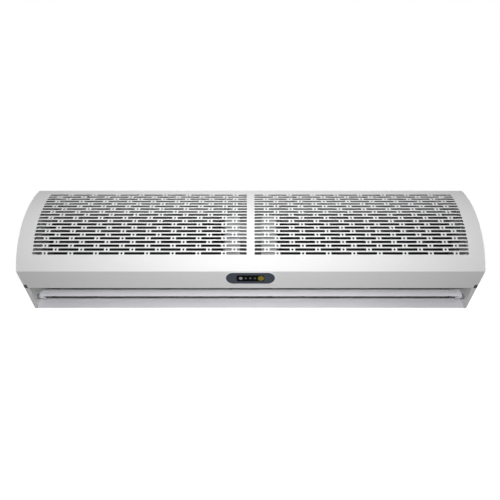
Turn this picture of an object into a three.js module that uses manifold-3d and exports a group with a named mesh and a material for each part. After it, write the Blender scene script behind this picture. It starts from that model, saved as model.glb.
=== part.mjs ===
// A wall-hung air curtain: a long casing with a curved, slotted intake cover, a lower panel with its
// display, and a slanted outlet with one swinging vane. Inside are a double-shafted motor and two
// cross-flow impellers in a common duct. Millimetres, +Z up, +X to the viewer's right, front at -Y.
// A section point is [depth behind the front crease, height over the flat bottom].
import * as THREE from "three";
import { mergeGeometries, mergeVertices } from "three/addons/utils/BufferGeometryUtils.js";
import Module from "manifold-3d";

const wasm = await Module();
wasm.setup();

// ---------------------------------------------------------------- driving dimensions
// Casing
const LENGTH = 900;
const DEPTH = 190;
const HEIGHT = 247.5;
const CREASE_HEIGHT = 79; // the edge where the lower panel turns back under the cover
const STRIP = 8; // upright strip between the crease and the foot of the curve
const COVER_RADIUS = 195;
const TOP_FLAT = 15.7; // flat stretch of the cover behind the curve, up to the seam on the top face
const BOTTOM_FRONT = 67; // depth at which the flat bottom starts
const PANEL_WIDTH = 45; // lower panel, measured down the slant
const PANEL_LIP = 10; // its edge folded inwards
const COVER_SHEET = 1.5;
const CHEEK = 2.5; // the cover's own side walls
const CHEEK_EDGE = 18; // lower edge of a cheek, measured inwards from the panel's end
const CHEEK_STEP = 40; // by which a cheek is shallower at the foot of the curve than at the top
const CAP_INNER = 3.2; // thickness of an end cap behind a cheek
const CASING_SHEET = 1.2;
const LAP = 12; // casing tongue under the cover's rear edge
const JOGGLE = 3; // length of the step from that tongue up to the top face
const WALL_PLATE = 1.5;
const FIT = 0.3; // clearance between neighbouring pieces
const TURNING = 0.5; // radial clearance round what turns

// Slotted intake
const ROW_PITCH = 7.5;
const FIRST_ROW = 29.3; // arc length from the foot of the curve to the lowest row
const ROWS_PER_FACET = 2;
const PLAIN_TOP = 8; // least arc length left plain over the top row's facet
const LOWER_FACETS = 2;
const SLOT_LENGTH = 38.5;
const SLOT_WIDTH = 4;
const SLOT_DEPTH = 10;
const DOT = 4; // punched dot between two slots; its place stays solid here
const WEB = 2.9; // metal between a slot and a dot
const CENTRE_BAR = 15;
const HALF_SLOT = 18.5; // it fills the row beside the whole slots
const FIELD_END = 35; // least distance of a slot from the casing's end

// Outlet
const RAMP_SLOPE = 20; // degrees
const RAMP_DEPTH = 48;
const LIP_FLANGE = 18;
const LIP_SHEET = 1.5;
const MOUTH_FLANGE_TOP = 11;
const MOUTH_FLANGE_FOOT = 7;
const MOUTH_FLANGE_THICK = 2.5;
const MOUTH_FLANGE_STOP = 3.5; // short of the bottom corner
// Edges and pivot of the vane at rest, from the corner between the mouth and the flat bottom
const VANE_FRONT = [-21, 28];
const VANE_REAR = [9, 38.6];
const VANE_CAMBER = 1.5;
const VANE_THICK = 2.4;
const VANE_PIVOT = [1, 24];
const VANE_END_GAP = 13; // from a vane's end to the end cap
const VANE_LUG = 2;
const VANE_LUG_WIDTH = 10;
const VANE_PIN = 3; // radius
const BUSH_RADIUS = 7;
const BUSH_LENGTH = 5;
const BUSH_SPIGOT = 2;
const BUSH_WALL = 2;

// Fan
const FAN_FROM_BACK = 85; // from the wall to the fan's axis
const FAN_OVER_CREASE = 71;
const FAN_RADIUS = 50;
const FAN_START = 64;
const FAN_END_GAP = 14; // from an impeller to its bearing bracket
const FAN_DISC = 2;
const BLADES = 18;
const BLADE_INNER = 38;
const BLADE_OUTER = 49;
const BLADE_THICK = 1.4;
const BLADE_LEAN = 24; // degrees off the radius
const RING_INNER = 36;
const MIDDLE_RINGS = 1;
const HUB_RADIUS = 15;
const HUB_LENGTH = 12;
const SHAFT_RADIUS = 5;
const END_FLANGE = 17; // radius
const END_FLANGE_THICK = 3;
const END_SHAFT_INSIDE = 12;
const SHAFT_END = 2; // past the bearing

// Motor and its brackets
const MOTOR_RADIUS = 46;
const MOTOR_HALF = 35;
const MOTOR_CHAMFER = 6;
const MOTOR_BOSS = 15; // radius
const MOUNT_RING = 22; // radius of the rubber ring round a boss
const MOUNT_SHOULDER = 3; // of that ring, inside its bracket
const MOTOR_BRACKET = 50; // distance of a motor bracket's inner face from the middle
const BEARING_INSET = 16; // from an end cap's inner face to a bearing bracket
const BRACKET_SHEET = 2;
const BRACKET_APART = 4; // from the motor's front to the bracket's flange
const BRACKET_DROP = 38; // from the fan's axis down to the front flange's foot
const BRACKET_FRONT_HEIGHT = 78;
const BRACKET_BELOW_TOP = 15.5;
const BRACKET_CLEAR = 13.5; // from its upper corner to the cover
const BRACKET_THROAT = 6; // kept clear round the tongue's tip
const BRACKET_THROAT_DROP = 11;
const BRACKET_STEP = 18; // by which its lower front edge stands behind the ramp's end
const BRACKET_VANE_ROOM = 60; // height kept clear over the ramp for the vane
const MOTOR_FRONT_FLANGE = 30;
const BEARING_FRONT_FLANGE = 12;
const BRACKET_REAR_FLANGE = 12;
const REAR_FLANGE_FOOT = 30;
const REAR_FLANGE_BELOW_TOP = 20;
const BEARING_RADIUS = 13;
const BEARING_LENGTH = 10;

// Duct walls
const SCROLL_SHEET = 1.5;
const SCROLL_NEAREST = 57; // radius at its start
const SCROLL_GROWTH = 0.227; // per radian
const SCROLL_FROM = 48; // degrees over the horizontal
const SCROLL_TO = -50;
const SCROLL_STEPS = 6;
const SCROLL_MOUTH = 45; // from the fan's axis back to the scroll's upper edge
const SCROLL_BELOW_TOP = 19.5;
const SCROLL_TAIL = [6, 4]; // from the ramp's upper end
const SCROLL_FOOT = 10;
const TONGUE_SHEET = 1.5;
const TONGUE_FROM_LIP = [
  [10.7, 14.3],
  [20.7, 32.3],
]; // bends over its foot at the panel's lip
const TONGUE_FROM_FAN = [
  [-38.5, -47],
  [-39, -40.5],
]; // its tip, from the fan's axis
const TONGUE_RISE = 13; // of its front edge over the crease

// Display on the lower panel, in the panel's own plane
const PILL_LENGTH = 90;
const PILL_WIDTH = 28.5;
const PILL_DOWN = 16.9; // from the crease to the middle of the display
const PILL_RIM = 3; // overlap of the rim on the panel
const PILL_PROUD = 1.2;
const PILL_WALL = 2;
const WINDOW_MARGIN = 0.5; // from the button to the window's end
const WINDOW_WIDTH = 16;
const WINDOW_THICK = 2;
const RECEIVER_AT = -17.5;
const RECEIVER_RADIUS = 3.5;
const LED_AT = [-7.5, 1.5, 10.5];
const LED_RADIUS = 2.2;
const GUIDE_BAR = 2; // thickness of the bar that joins the three
const BUTTON_APART = 1.3; // from the last light to the button
const BUTTON_RADIUS = 6;
const BUTTON_TRAVEL = 1.2;
const BUTTON_PROUD = 0.4; // over the display's rim
const BUTTON_FLANGE = 1; // width and thickness of the rim that holds it in
const BUTTON_STEM = 2; // radius
const BOARD_DEPTH = 12; // from the panel's face to the board
const BOARD_THICK = 1.6;
const BOARD_LENGTH = 88;
const BOARD_WIDTH = 25;
const SWITCH_SIZE = 6;
const SWITCH_HEIGHT = 2.7;

// Electrics and fixings
const CAPACITOR_RADIUS = 14;
const CAPACITOR_LENGTH = 60;
const CAPACITOR_GAP = 4.5; // from the back wall
const CAPACITOR_DROP = 6; // under the scroll's upper flange
const CLIP_WIDTH = 14;
const CLIP_SHEET = 1.5;
const CLIP_FOOT = 8; // height of the block on the back wall
const TERMINAL_END = 84; // from the right end cap to its middle
const TERMINAL = [60, 22, 20];
const TERMINAL_GAP = 12; // from the back wall
const TERMINAL_WAYS = 4;
const TERMINAL_WAY = [9, 8]; // width and depth of one way's opening
const GROMMET_RADIUS = 10;
const GROMMET_BORE = 5;
const GROMMET_FLANGE = 3;
const GROMMET_HEIGHT = 45;
const PLATE_END = 70; // from the casing's end to the wall plate
const PLATE_FOOT = 28;
const PLATE_BELOW_TOP = 23.5;
const PLATE_WINDOW = [44, 44];
const PLATE_HOLE = 4;
const PLATE_HOLE_END = 80; // from the plate's end
const PLATE_HOLE_EDGE = 18; // from its lower edge, and twice that from its upper edge
const HOOK_END = 50; // from the plate's end
const HOOK_WIDTH = 24;
const HOOK_RISE = 8;
const HOOK_BELOW_TOP = 14;
const SCREW_RADIUS = 2;
const SCREW_HEAD = 4; // radius
const SCREW_HEAD_HEIGHT = 2.2;
const COVER_SCREW_END = 50; // outer screws, from the casing's end
const COVER_SCREW_MIDDLE = 140; // inner screws, from the middle
const COVER_SCREW_EDGE = 6; // from the seam
const COVER_SCREW_LENGTH = 8;
const COVER_SCREW_HEAD = 0.9;
const BRACKET_SCREW_FOOT = 60;
const BRACKET_SCREW_DROP = 55.5; // from the top

// ---------------------------------------------------------------- worked out from them
const HALF = LENGTH / 2;
const radians = THREE.MathUtils.degToRad;
const crease = [0, CREASE_HEIGHT];
const slantLength = Math.hypot(BOTTOM_FRONT, CREASE_HEIGHT);
const downSlant = [BOTTOM_FRONT / slantLength, -CREASE_HEIGHT / slantLength];
const inward = [-downSlant[1], downSlant[0]]; // square to the panel, into the casing
const stepped = (from, along, far) => [from[0] + along[0] * far, from[1] + along[1] * far];
const panelEnd = stepped(crease, downSlant, PANEL_WIDTH);
const lipEnd = stepped(panelEnd, inward, PANEL_LIP);
const arcFoot = CREASE_HEIGHT + STRIP;
const topAngle = Math.asin((HEIGHT - arcFoot) / COVER_RADIUS);
const onCurve = (arcLength) => {
  const turn = arcLength / COVER_RADIUS;
  return [COVER_RADIUS * (1 - Math.cos(turn)), arcFoot + COVER_RADIUS * Math.sin(turn)];
};
const buttonAt = LED_AT[2] + LED_RADIUS + BUTTON_RADIUS + BUTTON_APART;
const windowLength = 2 * (buttonAt + BUTTON_RADIUS + WINDOW_MARGIN);
const bracketScrewHeights = [BRACKET_SCREW_FOOT, HEIGHT - BRACKET_SCREW_DROP];
const coverDepth = (height) => COVER_RADIUS - Math.sqrt(COVER_RADIUS ** 2 - (height - arcFoot) ** 2);
const casingBack = DEPTH - WALL_PLATE - FIT;
const backInside = casingBack - CASING_SHEET - FIT; // rearmost reach of what stands on the back wall
const wallInside = HALF - CHEEK - FIT - CAP_INNER; // inner face of an end cap
const between = wallInside - FIT; // half length of what fits between the end caps
const onBottom = CASING_SHEET + FIT;
const topSeam = onCurve(topAngle * COVER_RADIUS)[0] + TOP_FLAT;
const fanCentre = [DEPTH - FAN_FROM_BACK, CREASE_HEIGHT + FAN_OVER_CREASE];
const cheekRear = [
  [topSeam, HEIGHT],
  [topSeam, fanCentre[1]],
  [topSeam - CHEEK_STEP, arcFoot],
  stepped(panelEnd, inward, CHEEK_EDGE),
];
const bearingBracket = wallInside - BEARING_INSET;
const fanEnd = bearingBracket - FAN_END_GAP;
const rampEnd = [BOTTOM_FRONT + RAMP_DEPTH, RAMP_DEPTH * Math.tan(radians(RAMP_SLOPE))];
const vanePivot = [BOTTOM_FRONT + VANE_PIVOT[0], VANE_PIVOT[1]];
const vaneHalf = wallInside - VANE_END_GAP;
const scrollTop = [fanCentre[0] + SCROLL_MOUTH, HEIGHT - SCROLL_BELOW_TOP];
const plateHalf = HALF - PLATE_END;
const plateTop = HEIGHT - PLATE_BELOW_TOP;
const hooksAt = [HOOK_END - plateHalf, 0, plateHalf - HOOK_END];
const plateHolesAt = [PLATE_HOLE_END - plateHalf, 0, plateHalf - PLATE_HOLE_END];
const terminalAt = wallInside - TERMINAL_END;
const outerScrew = HALF - COVER_SCREW_END;
const coverScrewsAt = [-outerScrew, -COVER_SCREW_MIDDLE, COVER_SCREW_MIDDLE, outerScrew];
const THROUGH = 1; // by which a cutter passes a face

// ---------------------------------------------------------------- shapes
function solidOf(geometry) {
  const loose = geometry.index ? geometry.toNonIndexed() : geometry;
  const bare = new THREE.BufferGeometry();
  bare.setAttribute("position", loose.getAttribute("position"));
  const merged = mergeVertices(bare, 1e-4);
  const mesh = new wasm.Mesh({
    numProp: 3,
    vertProperties: merged.getAttribute("position").array,
    triVerts: new Uint32Array(merged.index.array),
  });
  return new wasm.Manifold(mesh);
}

function geometryOf(solid) {
  const mesh = solid.getMesh();
  const geometry = new THREE.BufferGeometry();
  geometry.setAttribute("position", new THREE.BufferAttribute(mesh.vertProperties, 3));
  geometry.setIndex(new THREE.BufferAttribute(mesh.triVerts, 1));
  geometry.computeVertexNormals();
  return geometry;
}

const cut = (from, ...tools) => tools.reduce((left, tool) => left.subtract(solidOf(tool)), from);
const joined = (...pieces) => pieces.map(solidOf).reduce((all, piece) => all.add(piece));

// A section outline run along the length from x0 to x1, in either order.
function prism(outline, x0, x1, holes = []) {
  const shape = new THREE.Shape(outline.map(([y, z]) => new THREE.Vector2(y, z)));
  shape.holes = holes.map((hole) => new THREE.Path(hole.map(([y, z]) => new THREE.Vector2(y, z))));
  const depth = Math.abs(x1 - x0);
  const geometry = new THREE.ExtrudeGeometry(shape, { depth, bevelEnabled: false });
  const turned = new THREE.Matrix4().set(0, 0, 1, Math.min(x0, x1), 1, 0, 0, 0, 0, 1, 0, 0, 0, 0, 0, 1);
  return geometry.applyMatrix4(turned);
}

function round(centre, radius, sides = 16) {
  const points = [];
  for (let i = 0; i < sides; i++) {
    const turn = (2 * Math.PI * (i + 0.5)) / sides;
    points.push([centre[0] + radius * Math.cos(turn), centre[1] + radius * Math.sin(turn)]);
  }
  return points;
}

function box(x0, x1, y0, y1, z0, z1) {
  const geometry = new THREE.BoxGeometry(Math.abs(x1 - x0), Math.abs(y1 - y0), Math.abs(z1 - z0));
  return geometry.translate((x0 + x1) / 2, (y0 + y1) / 2, (z0 + z1) / 2);
}

// The path moved to its right-hand side, with mitred corners.
function shifted(path, far) {
  const normals = path.slice(1).map((point, i) => {
    const run = [point[0] - path[i][0], point[1] - path[i][1]];
    const length = Math.hypot(...run);
    return [run[1] / length, -run[0] / length];
  });
  return path.map((point, i) => {
    const before = normals[Math.max(i - 1, 0)];
    const after = normals[Math.min(i, normals.length - 1)];
    const share = far / (1 + before[0] * after[0] + before[1] * after[1]);
    return [point[0] + (before[0] + after[0]) * share, point[1] + (before[1] + after[1]) * share];
  });
}

const bentSheet = (path, thickness) => [...path, ...shifted(path, thickness).reverse()];

// A stadium in the panel's plane, [along the length, down the slant].
function stadium(length, width, sides = 8) {
  const radius = width / 2;
  const points = [];
  for (const end of [1, -1]) {
    for (let i = 0; i <= sides; i++) {
      const turn = Math.PI * (i / sides - 0.5);
      const x = end * (length / 2 - radius + radius * Math.cos(turn));
      points.push([x, PILL_DOWN + end * radius * Math.sin(turn)]);
    }
  }
  return points;
}

// An outline in the panel's plane, from one depth behind the panel's face to another.
function slab(outline, z0, z1, holes = []) {
  const shape = new THREE.Shape(outline.map(([x, y]) => new THREE.Vector2(x, y)));
  shape.holes = holes.map((hole) => new THREE.Path(hole.map(([x, y]) => new THREE.Vector2(x, y))));
  return new THREE.ExtrudeGeometry(shape, { depth: z1 - z0, bevelEnabled: false }).translate(0, 0, z0);
}

const oblong = (length, width, at = 0) => [
  [at - length / 2, PILL_DOWN - width / 2],
  [at + length / 2, PILL_DOWN - width / 2],
  [at + length / 2, PILL_DOWN + width / 2],
  [at - length / 2, PILL_DOWN + width / 2],
];

// ---------------------------------------------------------------- scene graph
const unit = new THREE.Group();
unit.position.y = -DEPTH / 2;
const panel = new THREE.Group(); // local X along the length, Y down the slant, Z into the casing
panel.rotation.x = Math.atan2(downSlant[1], downSlant[0]);
panel.position.set(0, crease[0], crease[1]);
panel.updateMatrix();
unit.add(panel);

const finish = (color, roughness, metalness) =>
  new THREE.MeshStandardMaterial({ color, roughness, metalness });
const whitePaint = finish(0xe9eae8, 0.45, 0);
const greyPaint = finish(0xc9cacc, 0.5, 0);
const galvanised = finish(0xb4b8bb, 0.4, 0.9);
const steel = finish(0x9a9ca0, 0.35, 1);
const darkPlastic = finish(0x2c2f33, 0.55, 0);
const slatePlastic = finish(0x40474f, 0.45, 0);
const blackGloss = finish(0x08090a, 0.1, 0);
const rubber = finish(0x1c1c1e, 0.9, 0);
const palePlastic = finish(0xd8d8d2, 0.4, 0);
const goldPlastic = finish(0x6e671f, 0.35, 0.3);
const ledPlastic = finish(0x6a6f70, 0.3, 0);
const boardGreen = finish(0x1f5a35, 0.6, 0);

function piece(name, shape, material, group = unit) {
  const geometry = shape.isBufferGeometry ? shape : geometryOf(shape);
  const mesh = new THREE.Mesh(geometry, material);
  mesh.name = name;
  group.add(mesh);
}

const SIDES = [
  ["left", -1],
  ["right", 1],
];

// ---------------------------------------------------------------- front cover
const slottedFrom = FIRST_ROW - ROW_PITCH / 2;
const facetLength = ROWS_PER_FACET * ROW_PITCH;
const slottedFacets = Math.floor((topAngle * COVER_RADIUS - PLAIN_TOP - slottedFrom) / facetLength);

function curvePoints() {
  const lengths = [];
  for (let i = 0; i < LOWER_FACETS; i++) lengths.push((slottedFrom * i) / LOWER_FACETS);
  for (let i = 0; i <= slottedFacets; i++) lengths.push(slottedFrom + i * facetLength);
  lengths.push(topAngle * COVER_RADIUS);
  return lengths.map(onCurve);
}

const frontPath = [panelEnd, crease, ...curvePoints(), [topSeam, HEIGHT]];

// The slots of one row, from the centre bar outwards, as [near end, far end].
function slotsInRow(row) {
  const period = SLOT_LENGTH + DOT + 2 * WEB;
  const field = HALF - FIELD_END - CENTRE_BAR / 2;
  const wholeSlots = Math.floor((field - HALF_SLOT) / period);
  const spans = [];
  const startsWhole = row % 2 === 0;
  let near = CENTRE_BAR / 2;
  if (!startsWhole) {
    spans.push([near, near + HALF_SLOT]);
    near += HALF_SLOT + DOT + 2 * WEB;
  }
  for (let i = 0; i < wholeSlots; i++) spans.push([near + i * period, near + i * period + SLOT_LENGTH]);
  near += wholeSlots * period;
  if (startsWhole) spans.push([near, near + HALF_SLOT]);
  return spans;
}

function slotCutters() {
  const cutters = [];
  for (let row = 0; row < slottedFacets * ROWS_PER_FACET; row++) {
    const arcLength = FIRST_ROW + row * ROW_PITCH;
    const [y, z] = onCurve(arcLength);
    for (const [near, far] of slotsInRow(row)) {
      for (const [, side] of SIDES) {
        const cutter = new THREE.BoxGeometry(far - near, SLOT_DEPTH, SLOT_WIDTH);
        cutter.rotateX(-arcLength / COVER_RADIUS);
        cutters.push(cutter.translate((side * (near + far)) / 2, y, z));
      }
    }
  }
  return mergeGeometries(cutters);
}

const rimHole = stadium(PILL_LENGTH - 2 * PILL_RIM + 2 * FIT, PILL_WIDTH - 2 * PILL_RIM + 2 * FIT);

function screwHole(x, radius, z0, z1) {
  const geometry = new THREE.CylinderGeometry(radius, radius, z1 - z0, 12).rotateX(Math.PI / 2);
  return geometry.translate(x, topSeam - COVER_SCREW_EDGE, (z0 + z1) / 2);
}

function frontCover() {
  const sheet = prism(bentSheet(frontPath, COVER_SHEET), -HALF, HALF);
  const lip = prism(bentSheet([lipEnd, panelEnd, crease], COVER_SHEET), -between, between);
  const cheeks = SIDES.map(([, side]) =>
    prism([...frontPath, ...cheekRear.slice(1)], side * HALF, side * (HALF - CHEEK)),
  );
  const displayHole = slab(rimHole, -THROUGH, COVER_SHEET + THROUGH).applyMatrix4(panel.matrix);
  const screwHoles = coverScrewsAt.flatMap((x) => [
    screwHole(x, SCREW_RADIUS + FIT, HEIGHT - COVER_SHEET - THROUGH, HEIGHT + THROUGH),
    screwHole(x, SCREW_HEAD + FIT, HEIGHT - COVER_SCREW_HEAD - FIT, HEIGHT + THROUGH),
  ]);
  return cut(joined(sheet, lip, ...cheeks), slotCutters(), displayHole, ...screwHoles);
}
piece("front_cover", frontCover(), whitePaint);

// ---------------------------------------------------------------- end caps
const mouthTop = stepped(panelEnd, downSlant, FIT);
const spigotRadius = VANE_PIN + TURNING + BUSH_WALL;

function endCap(side) {
  const inside = shifted(frontPath, COVER_SHEET + FIT);
  inside[0] = stepped(mouthTop, inward, COVER_SHEET + FIT);
  inside[inside.length - 1] = [topSeam + FIT, HEIGHT - COVER_SHEET - FIT];
  const rear = [
    [topSeam + FIT, HEIGHT],
    [casingBack, HEIGHT],
    [casingBack, 0],
    [BOTTOM_FRONT, 0],
  ];
  const behindCheek = shifted(cheekRear, -FIT).reverse();
  behindCheek[0] = stepped(mouthTop, inward, CHEEK_EDGE);
  const core = prism([mouthTop, ...inside, ...rear], side * wallInside, side * (wallInside + CAP_INNER));
  const shellOutline = [mouthTop, ...behindCheek.slice(0, -1), ...rear];
  const shell = prism(shellOutline, side * (wallInside + THROUGH), side * HALF);
  const flange = slab(
    [
      [side * (HALF - MOUTH_FLANGE_TOP), PANEL_WIDTH + FIT],
      [side * (HALF - THROUGH), PANEL_WIDTH + FIT],
      [side * (HALF - THROUGH), slantLength - MOUTH_FLANGE_STOP],
      [side * (HALF - MOUTH_FLANGE_FOOT), slantLength - MOUTH_FLANGE_STOP],
    ],
    0,
    MOUTH_FLANGE_THICK,
  ).applyMatrix4(panel.matrix);
  const spigotHole = round(vanePivot, spigotRadius + FIT, 12);
  const recess = prism(spigotHole, side * (wallInside - THROUGH), side * (wallInside + BUSH_SPIGOT + FIT));
  return cut(joined(core, shell, flange), recess);
}
for (const [name, side] of SIDES) piece(name + "_end_cap", endCap(side), whitePaint);

// ---------------------------------------------------------------- back casing and wall plate
const grommetSeat = GROMMET_RADIUS + FIT;
const hookFoot = plateTop - HOOK_BELOW_TOP;

function acrossWall(x, z, radius, y0, y1, sides = 12) {
  return new THREE.CylinderGeometry(radius, radius, y1 - y0, sides).translate(x, (y0 + y1) / 2, z);
}

function bracketScrews() {
  const places = [];
  for (const [sideName, side] of SIDES) {
    for (const [kind, inner, turn] of [
      ["motor_bracket", MOTOR_BRACKET, -1],
      ["bearing_bracket", bearingBracket + BRACKET_SHEET, 1],
    ]) {
      const x = side * (inner + (turn * BRACKET_REAR_FLANGE) / 2);
      bracketScrewHeights.forEach((z, i) => places.push([`${kind}_screw_${sideName}_${i + 1}`, x, z]));
    }
  }
  return places;
}

function backCasing() {
  const path = [
    [topSeam - LAP, HEIGHT - COVER_SHEET - FIT],
    [topSeam, HEIGHT - COVER_SHEET - FIT],
    [topSeam + JOGGLE, HEIGHT],
    [casingBack, HEIGHT],
    [casingBack, 0],
    [BOTTOM_FRONT + LIP_FLANGE + FIT, 0],
  ];
  const shell = solidOf(prism(bentSheet(path, CASING_SHEET), -between, between));
  const hookSlots = hooksAt.map((x) => {
    const half = HOOK_WIDTH / 2 + FIT;
    const slotTop = hookFoot + HOOK_RISE + 2 * FIT;
    return box(x - half, x + half, backInside - THROUGH, DEPTH, hookFoot - FIT, slotTop);
  });
  const cable = acrossWall(terminalAt, GROMMET_HEIGHT, grommetSeat, backInside - THROUGH, DEPTH);
  const wallHoles = bracketScrews().map(([, x, z]) =>
    acrossWall(x, z, SCREW_RADIUS + FIT, backInside - THROUGH, DEPTH, 8),
  );
  const lapHoles = coverScrewsAt.map((x) =>
    screwHole(x, SCREW_RADIUS + FIT, HEIGHT - COVER_SCREW_LENGTH, HEIGHT),
  );
  return cut(shell, ...hookSlots, cable, ...wallHoles, ...lapHoles);
}
piece("back_casing", backCasing(), whitePaint);

function wallPlate() {
  const front = DEPTH - WALL_PLATE;
  const plate = box(-plateHalf, plateHalf, front, DEPTH, PLATE_FOOT, plateTop);
  const hooks = hooksAt.flatMap((x) => {
    const [left, right] = [x - HOOK_WIDTH / 2, x + HOOK_WIDTH / 2];
    const inner = backInside - WALL_PLATE;
    return [
      box(left, right, inner, front + WALL_PLATE / 2, hookFoot, hookFoot + WALL_PLATE),
      box(left, right, inner, backInside, hookFoot, hookFoot + HOOK_RISE),
    ];
  });
  const [wide, high] = PLATE_WINDOW;
  const [left, foot] = [terminalAt - wide / 2, GROMMET_HEIGHT - high / 2];
  const window = box(left, left + wide, front - THROUGH, DEPTH + THROUGH, foot, foot + high);
  const holes = plateHolesAt.flatMap((x) =>
    [PLATE_FOOT + PLATE_HOLE_EDGE, plateTop - 2 * PLATE_HOLE_EDGE].map((z) =>
      acrossWall(x, z, PLATE_HOLE, front - THROUGH, DEPTH + THROUGH),
    ),
  );
  return cut(joined(plate, ...hooks), window, ...holes);
}
piece("wall_plate", wallPlate(), galvanised);

// ---------------------------------------------------------------- duct: scroll guides, tongue, lip
function scrollPath() {
  const points = [[backInside, scrollTop[1]], scrollTop];
  for (let i = 0; i <= SCROLL_STEPS; i++) {
    const turn = radians(SCROLL_FROM + ((SCROLL_TO - SCROLL_FROM) * i) / SCROLL_STEPS);
    const radius = SCROLL_NEAREST * Math.exp(SCROLL_GROWTH * (radians(SCROLL_FROM) - turn));
    points.push([fanCentre[0] + radius * Math.cos(turn), fanCentre[1] + radius * Math.sin(turn)]);
  }
  const tail = [rampEnd[0] + SCROLL_TAIL[0], rampEnd[1] + SCROLL_TAIL[1]];
  points.push(tail, [tail[0], onBottom], [tail[0] + SCROLL_FOOT, onBottom]);
  return points;
}
const scrollStart = MOTOR_BRACKET + BRACKET_SHEET + FIT;
const scrollStop = bearingBracket - FIT;
for (const [name, side] of SIDES) {
  const outline = bentSheet(scrollPath(), -SCROLL_SHEET);
  piece("scroll_guide_" + name, prism(outline, side * scrollStart, side * scrollStop), galvanised);
}

const tongueFoot = stepped(lipEnd, inward, 2 * FIT);
const tongueTip = TONGUE_FROM_FAN.map(([y, z]) => [fanCentre[0] + y, fanCentre[1] + z]);
const tonguePath = [
  tongueFoot,
  ...TONGUE_FROM_LIP.map(([y, z]) => [tongueFoot[0] + y, tongueFoot[1] + z]),
  ...tongueTip,
  [COVER_SHEET + 2 * FIT, CREASE_HEIGHT + TONGUE_RISE],
];
piece("air_tongue", prism(bentSheet(tonguePath, -TONGUE_SHEET), -between, between), galvanised);

const lipPath = [
  rampEnd,
  [BOTTOM_FRONT, 0],
  [BOTTOM_FRONT + LIP_FLANGE, 0],
];
piece("outlet_lip", prism(bentSheet(lipPath, -LIP_SHEET), -between, between), whitePaint);

// ---------------------------------------------------------------- vane
function vane() {
  const [front, rear] = [VANE_FRONT, VANE_REAR].map((edge) => [BOTTOM_FRONT + edge[0], edge[1]]);
  const middle = [(front[0] + rear[0]) / 2, (front[1] + rear[1]) / 2 + VANE_CAMBER];
  const blade = prism(bentSheet([front, middle, rear], VANE_THICK), -vaneHalf, vaneHalf);
  const [y, z] = vanePivot;
  const half = VANE_LUG_WIDTH / 2;
  const lug = [
    [y - half, z - half],
    [y + half, z - half],
    [y + half, VANE_REAR[1] - VANE_THICK],
    [y - half, VANE_REAR[1] - 2 * VANE_THICK],
  ];
  const pin = round(vanePivot, VANE_PIN, 12);
  const pinEnd = wallInside + BUSH_SPIGOT / 2;
  const ends = SIDES.flatMap(([, side]) => [
    prism(lug, side * (vaneHalf - VANE_LUG), side * vaneHalf),
    prism(pin, side * (vaneHalf - VANE_LUG), side * pinEnd),
  ]);
  return joined(blade, ...ends);
}
piece("vane", vane(), greyPaint);

function vaneBush(side) {
  const bore = [round(vanePivot, VANE_PIN + TURNING, 12)];
  const flange = prism(round(vanePivot, BUSH_RADIUS), side * (between - BUSH_LENGTH), side * between, bore);
  const spigotOutline = round(vanePivot, spigotRadius, 12);
  const spigot = prism(spigotOutline, side * (between - THROUGH), side * (wallInside + BUSH_SPIGOT), bore);
  return joined(flange, spigot);
}
for (const [name, side] of SIDES) piece("vane_bush_" + name, vaneBush(side), darkPlastic);

// ---------------------------------------------------------------- motor
function motorBody() {
  const boss = MOTOR_BRACKET + BRACKET_SHEET;
  const bore = SHAFT_RADIUS + TURNING;
  const chamfered = MOTOR_RADIUS - MOTOR_CHAMFER;
  const half = [
    [bore, boss],
    [MOTOR_BOSS, boss],
    [MOTOR_BOSS, MOTOR_HALF],
    [chamfered, MOTOR_HALF],
    [MOTOR_RADIUS, MOTOR_HALF - MOTOR_CHAMFER],
  ];
  const profile = [...half.map(([r, x]) => [r, -x]), ...half.reverse(), [bore, -boss]];
  const points = profile.map(([r, x]) => new THREE.Vector2(r, x));
  return new THREE.LatheGeometry(points, 24).rotateZ(-Math.PI / 2).translate(0, ...fanCentre);
}
piece("motor_body", motorBody(), steel);

const shaftReach = FAN_START + HUB_LENGTH / 2;
piece("motor_shaft", prism(round(fanCentre, SHAFT_RADIUS), -shaftReach, shaftReach), steel);

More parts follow.
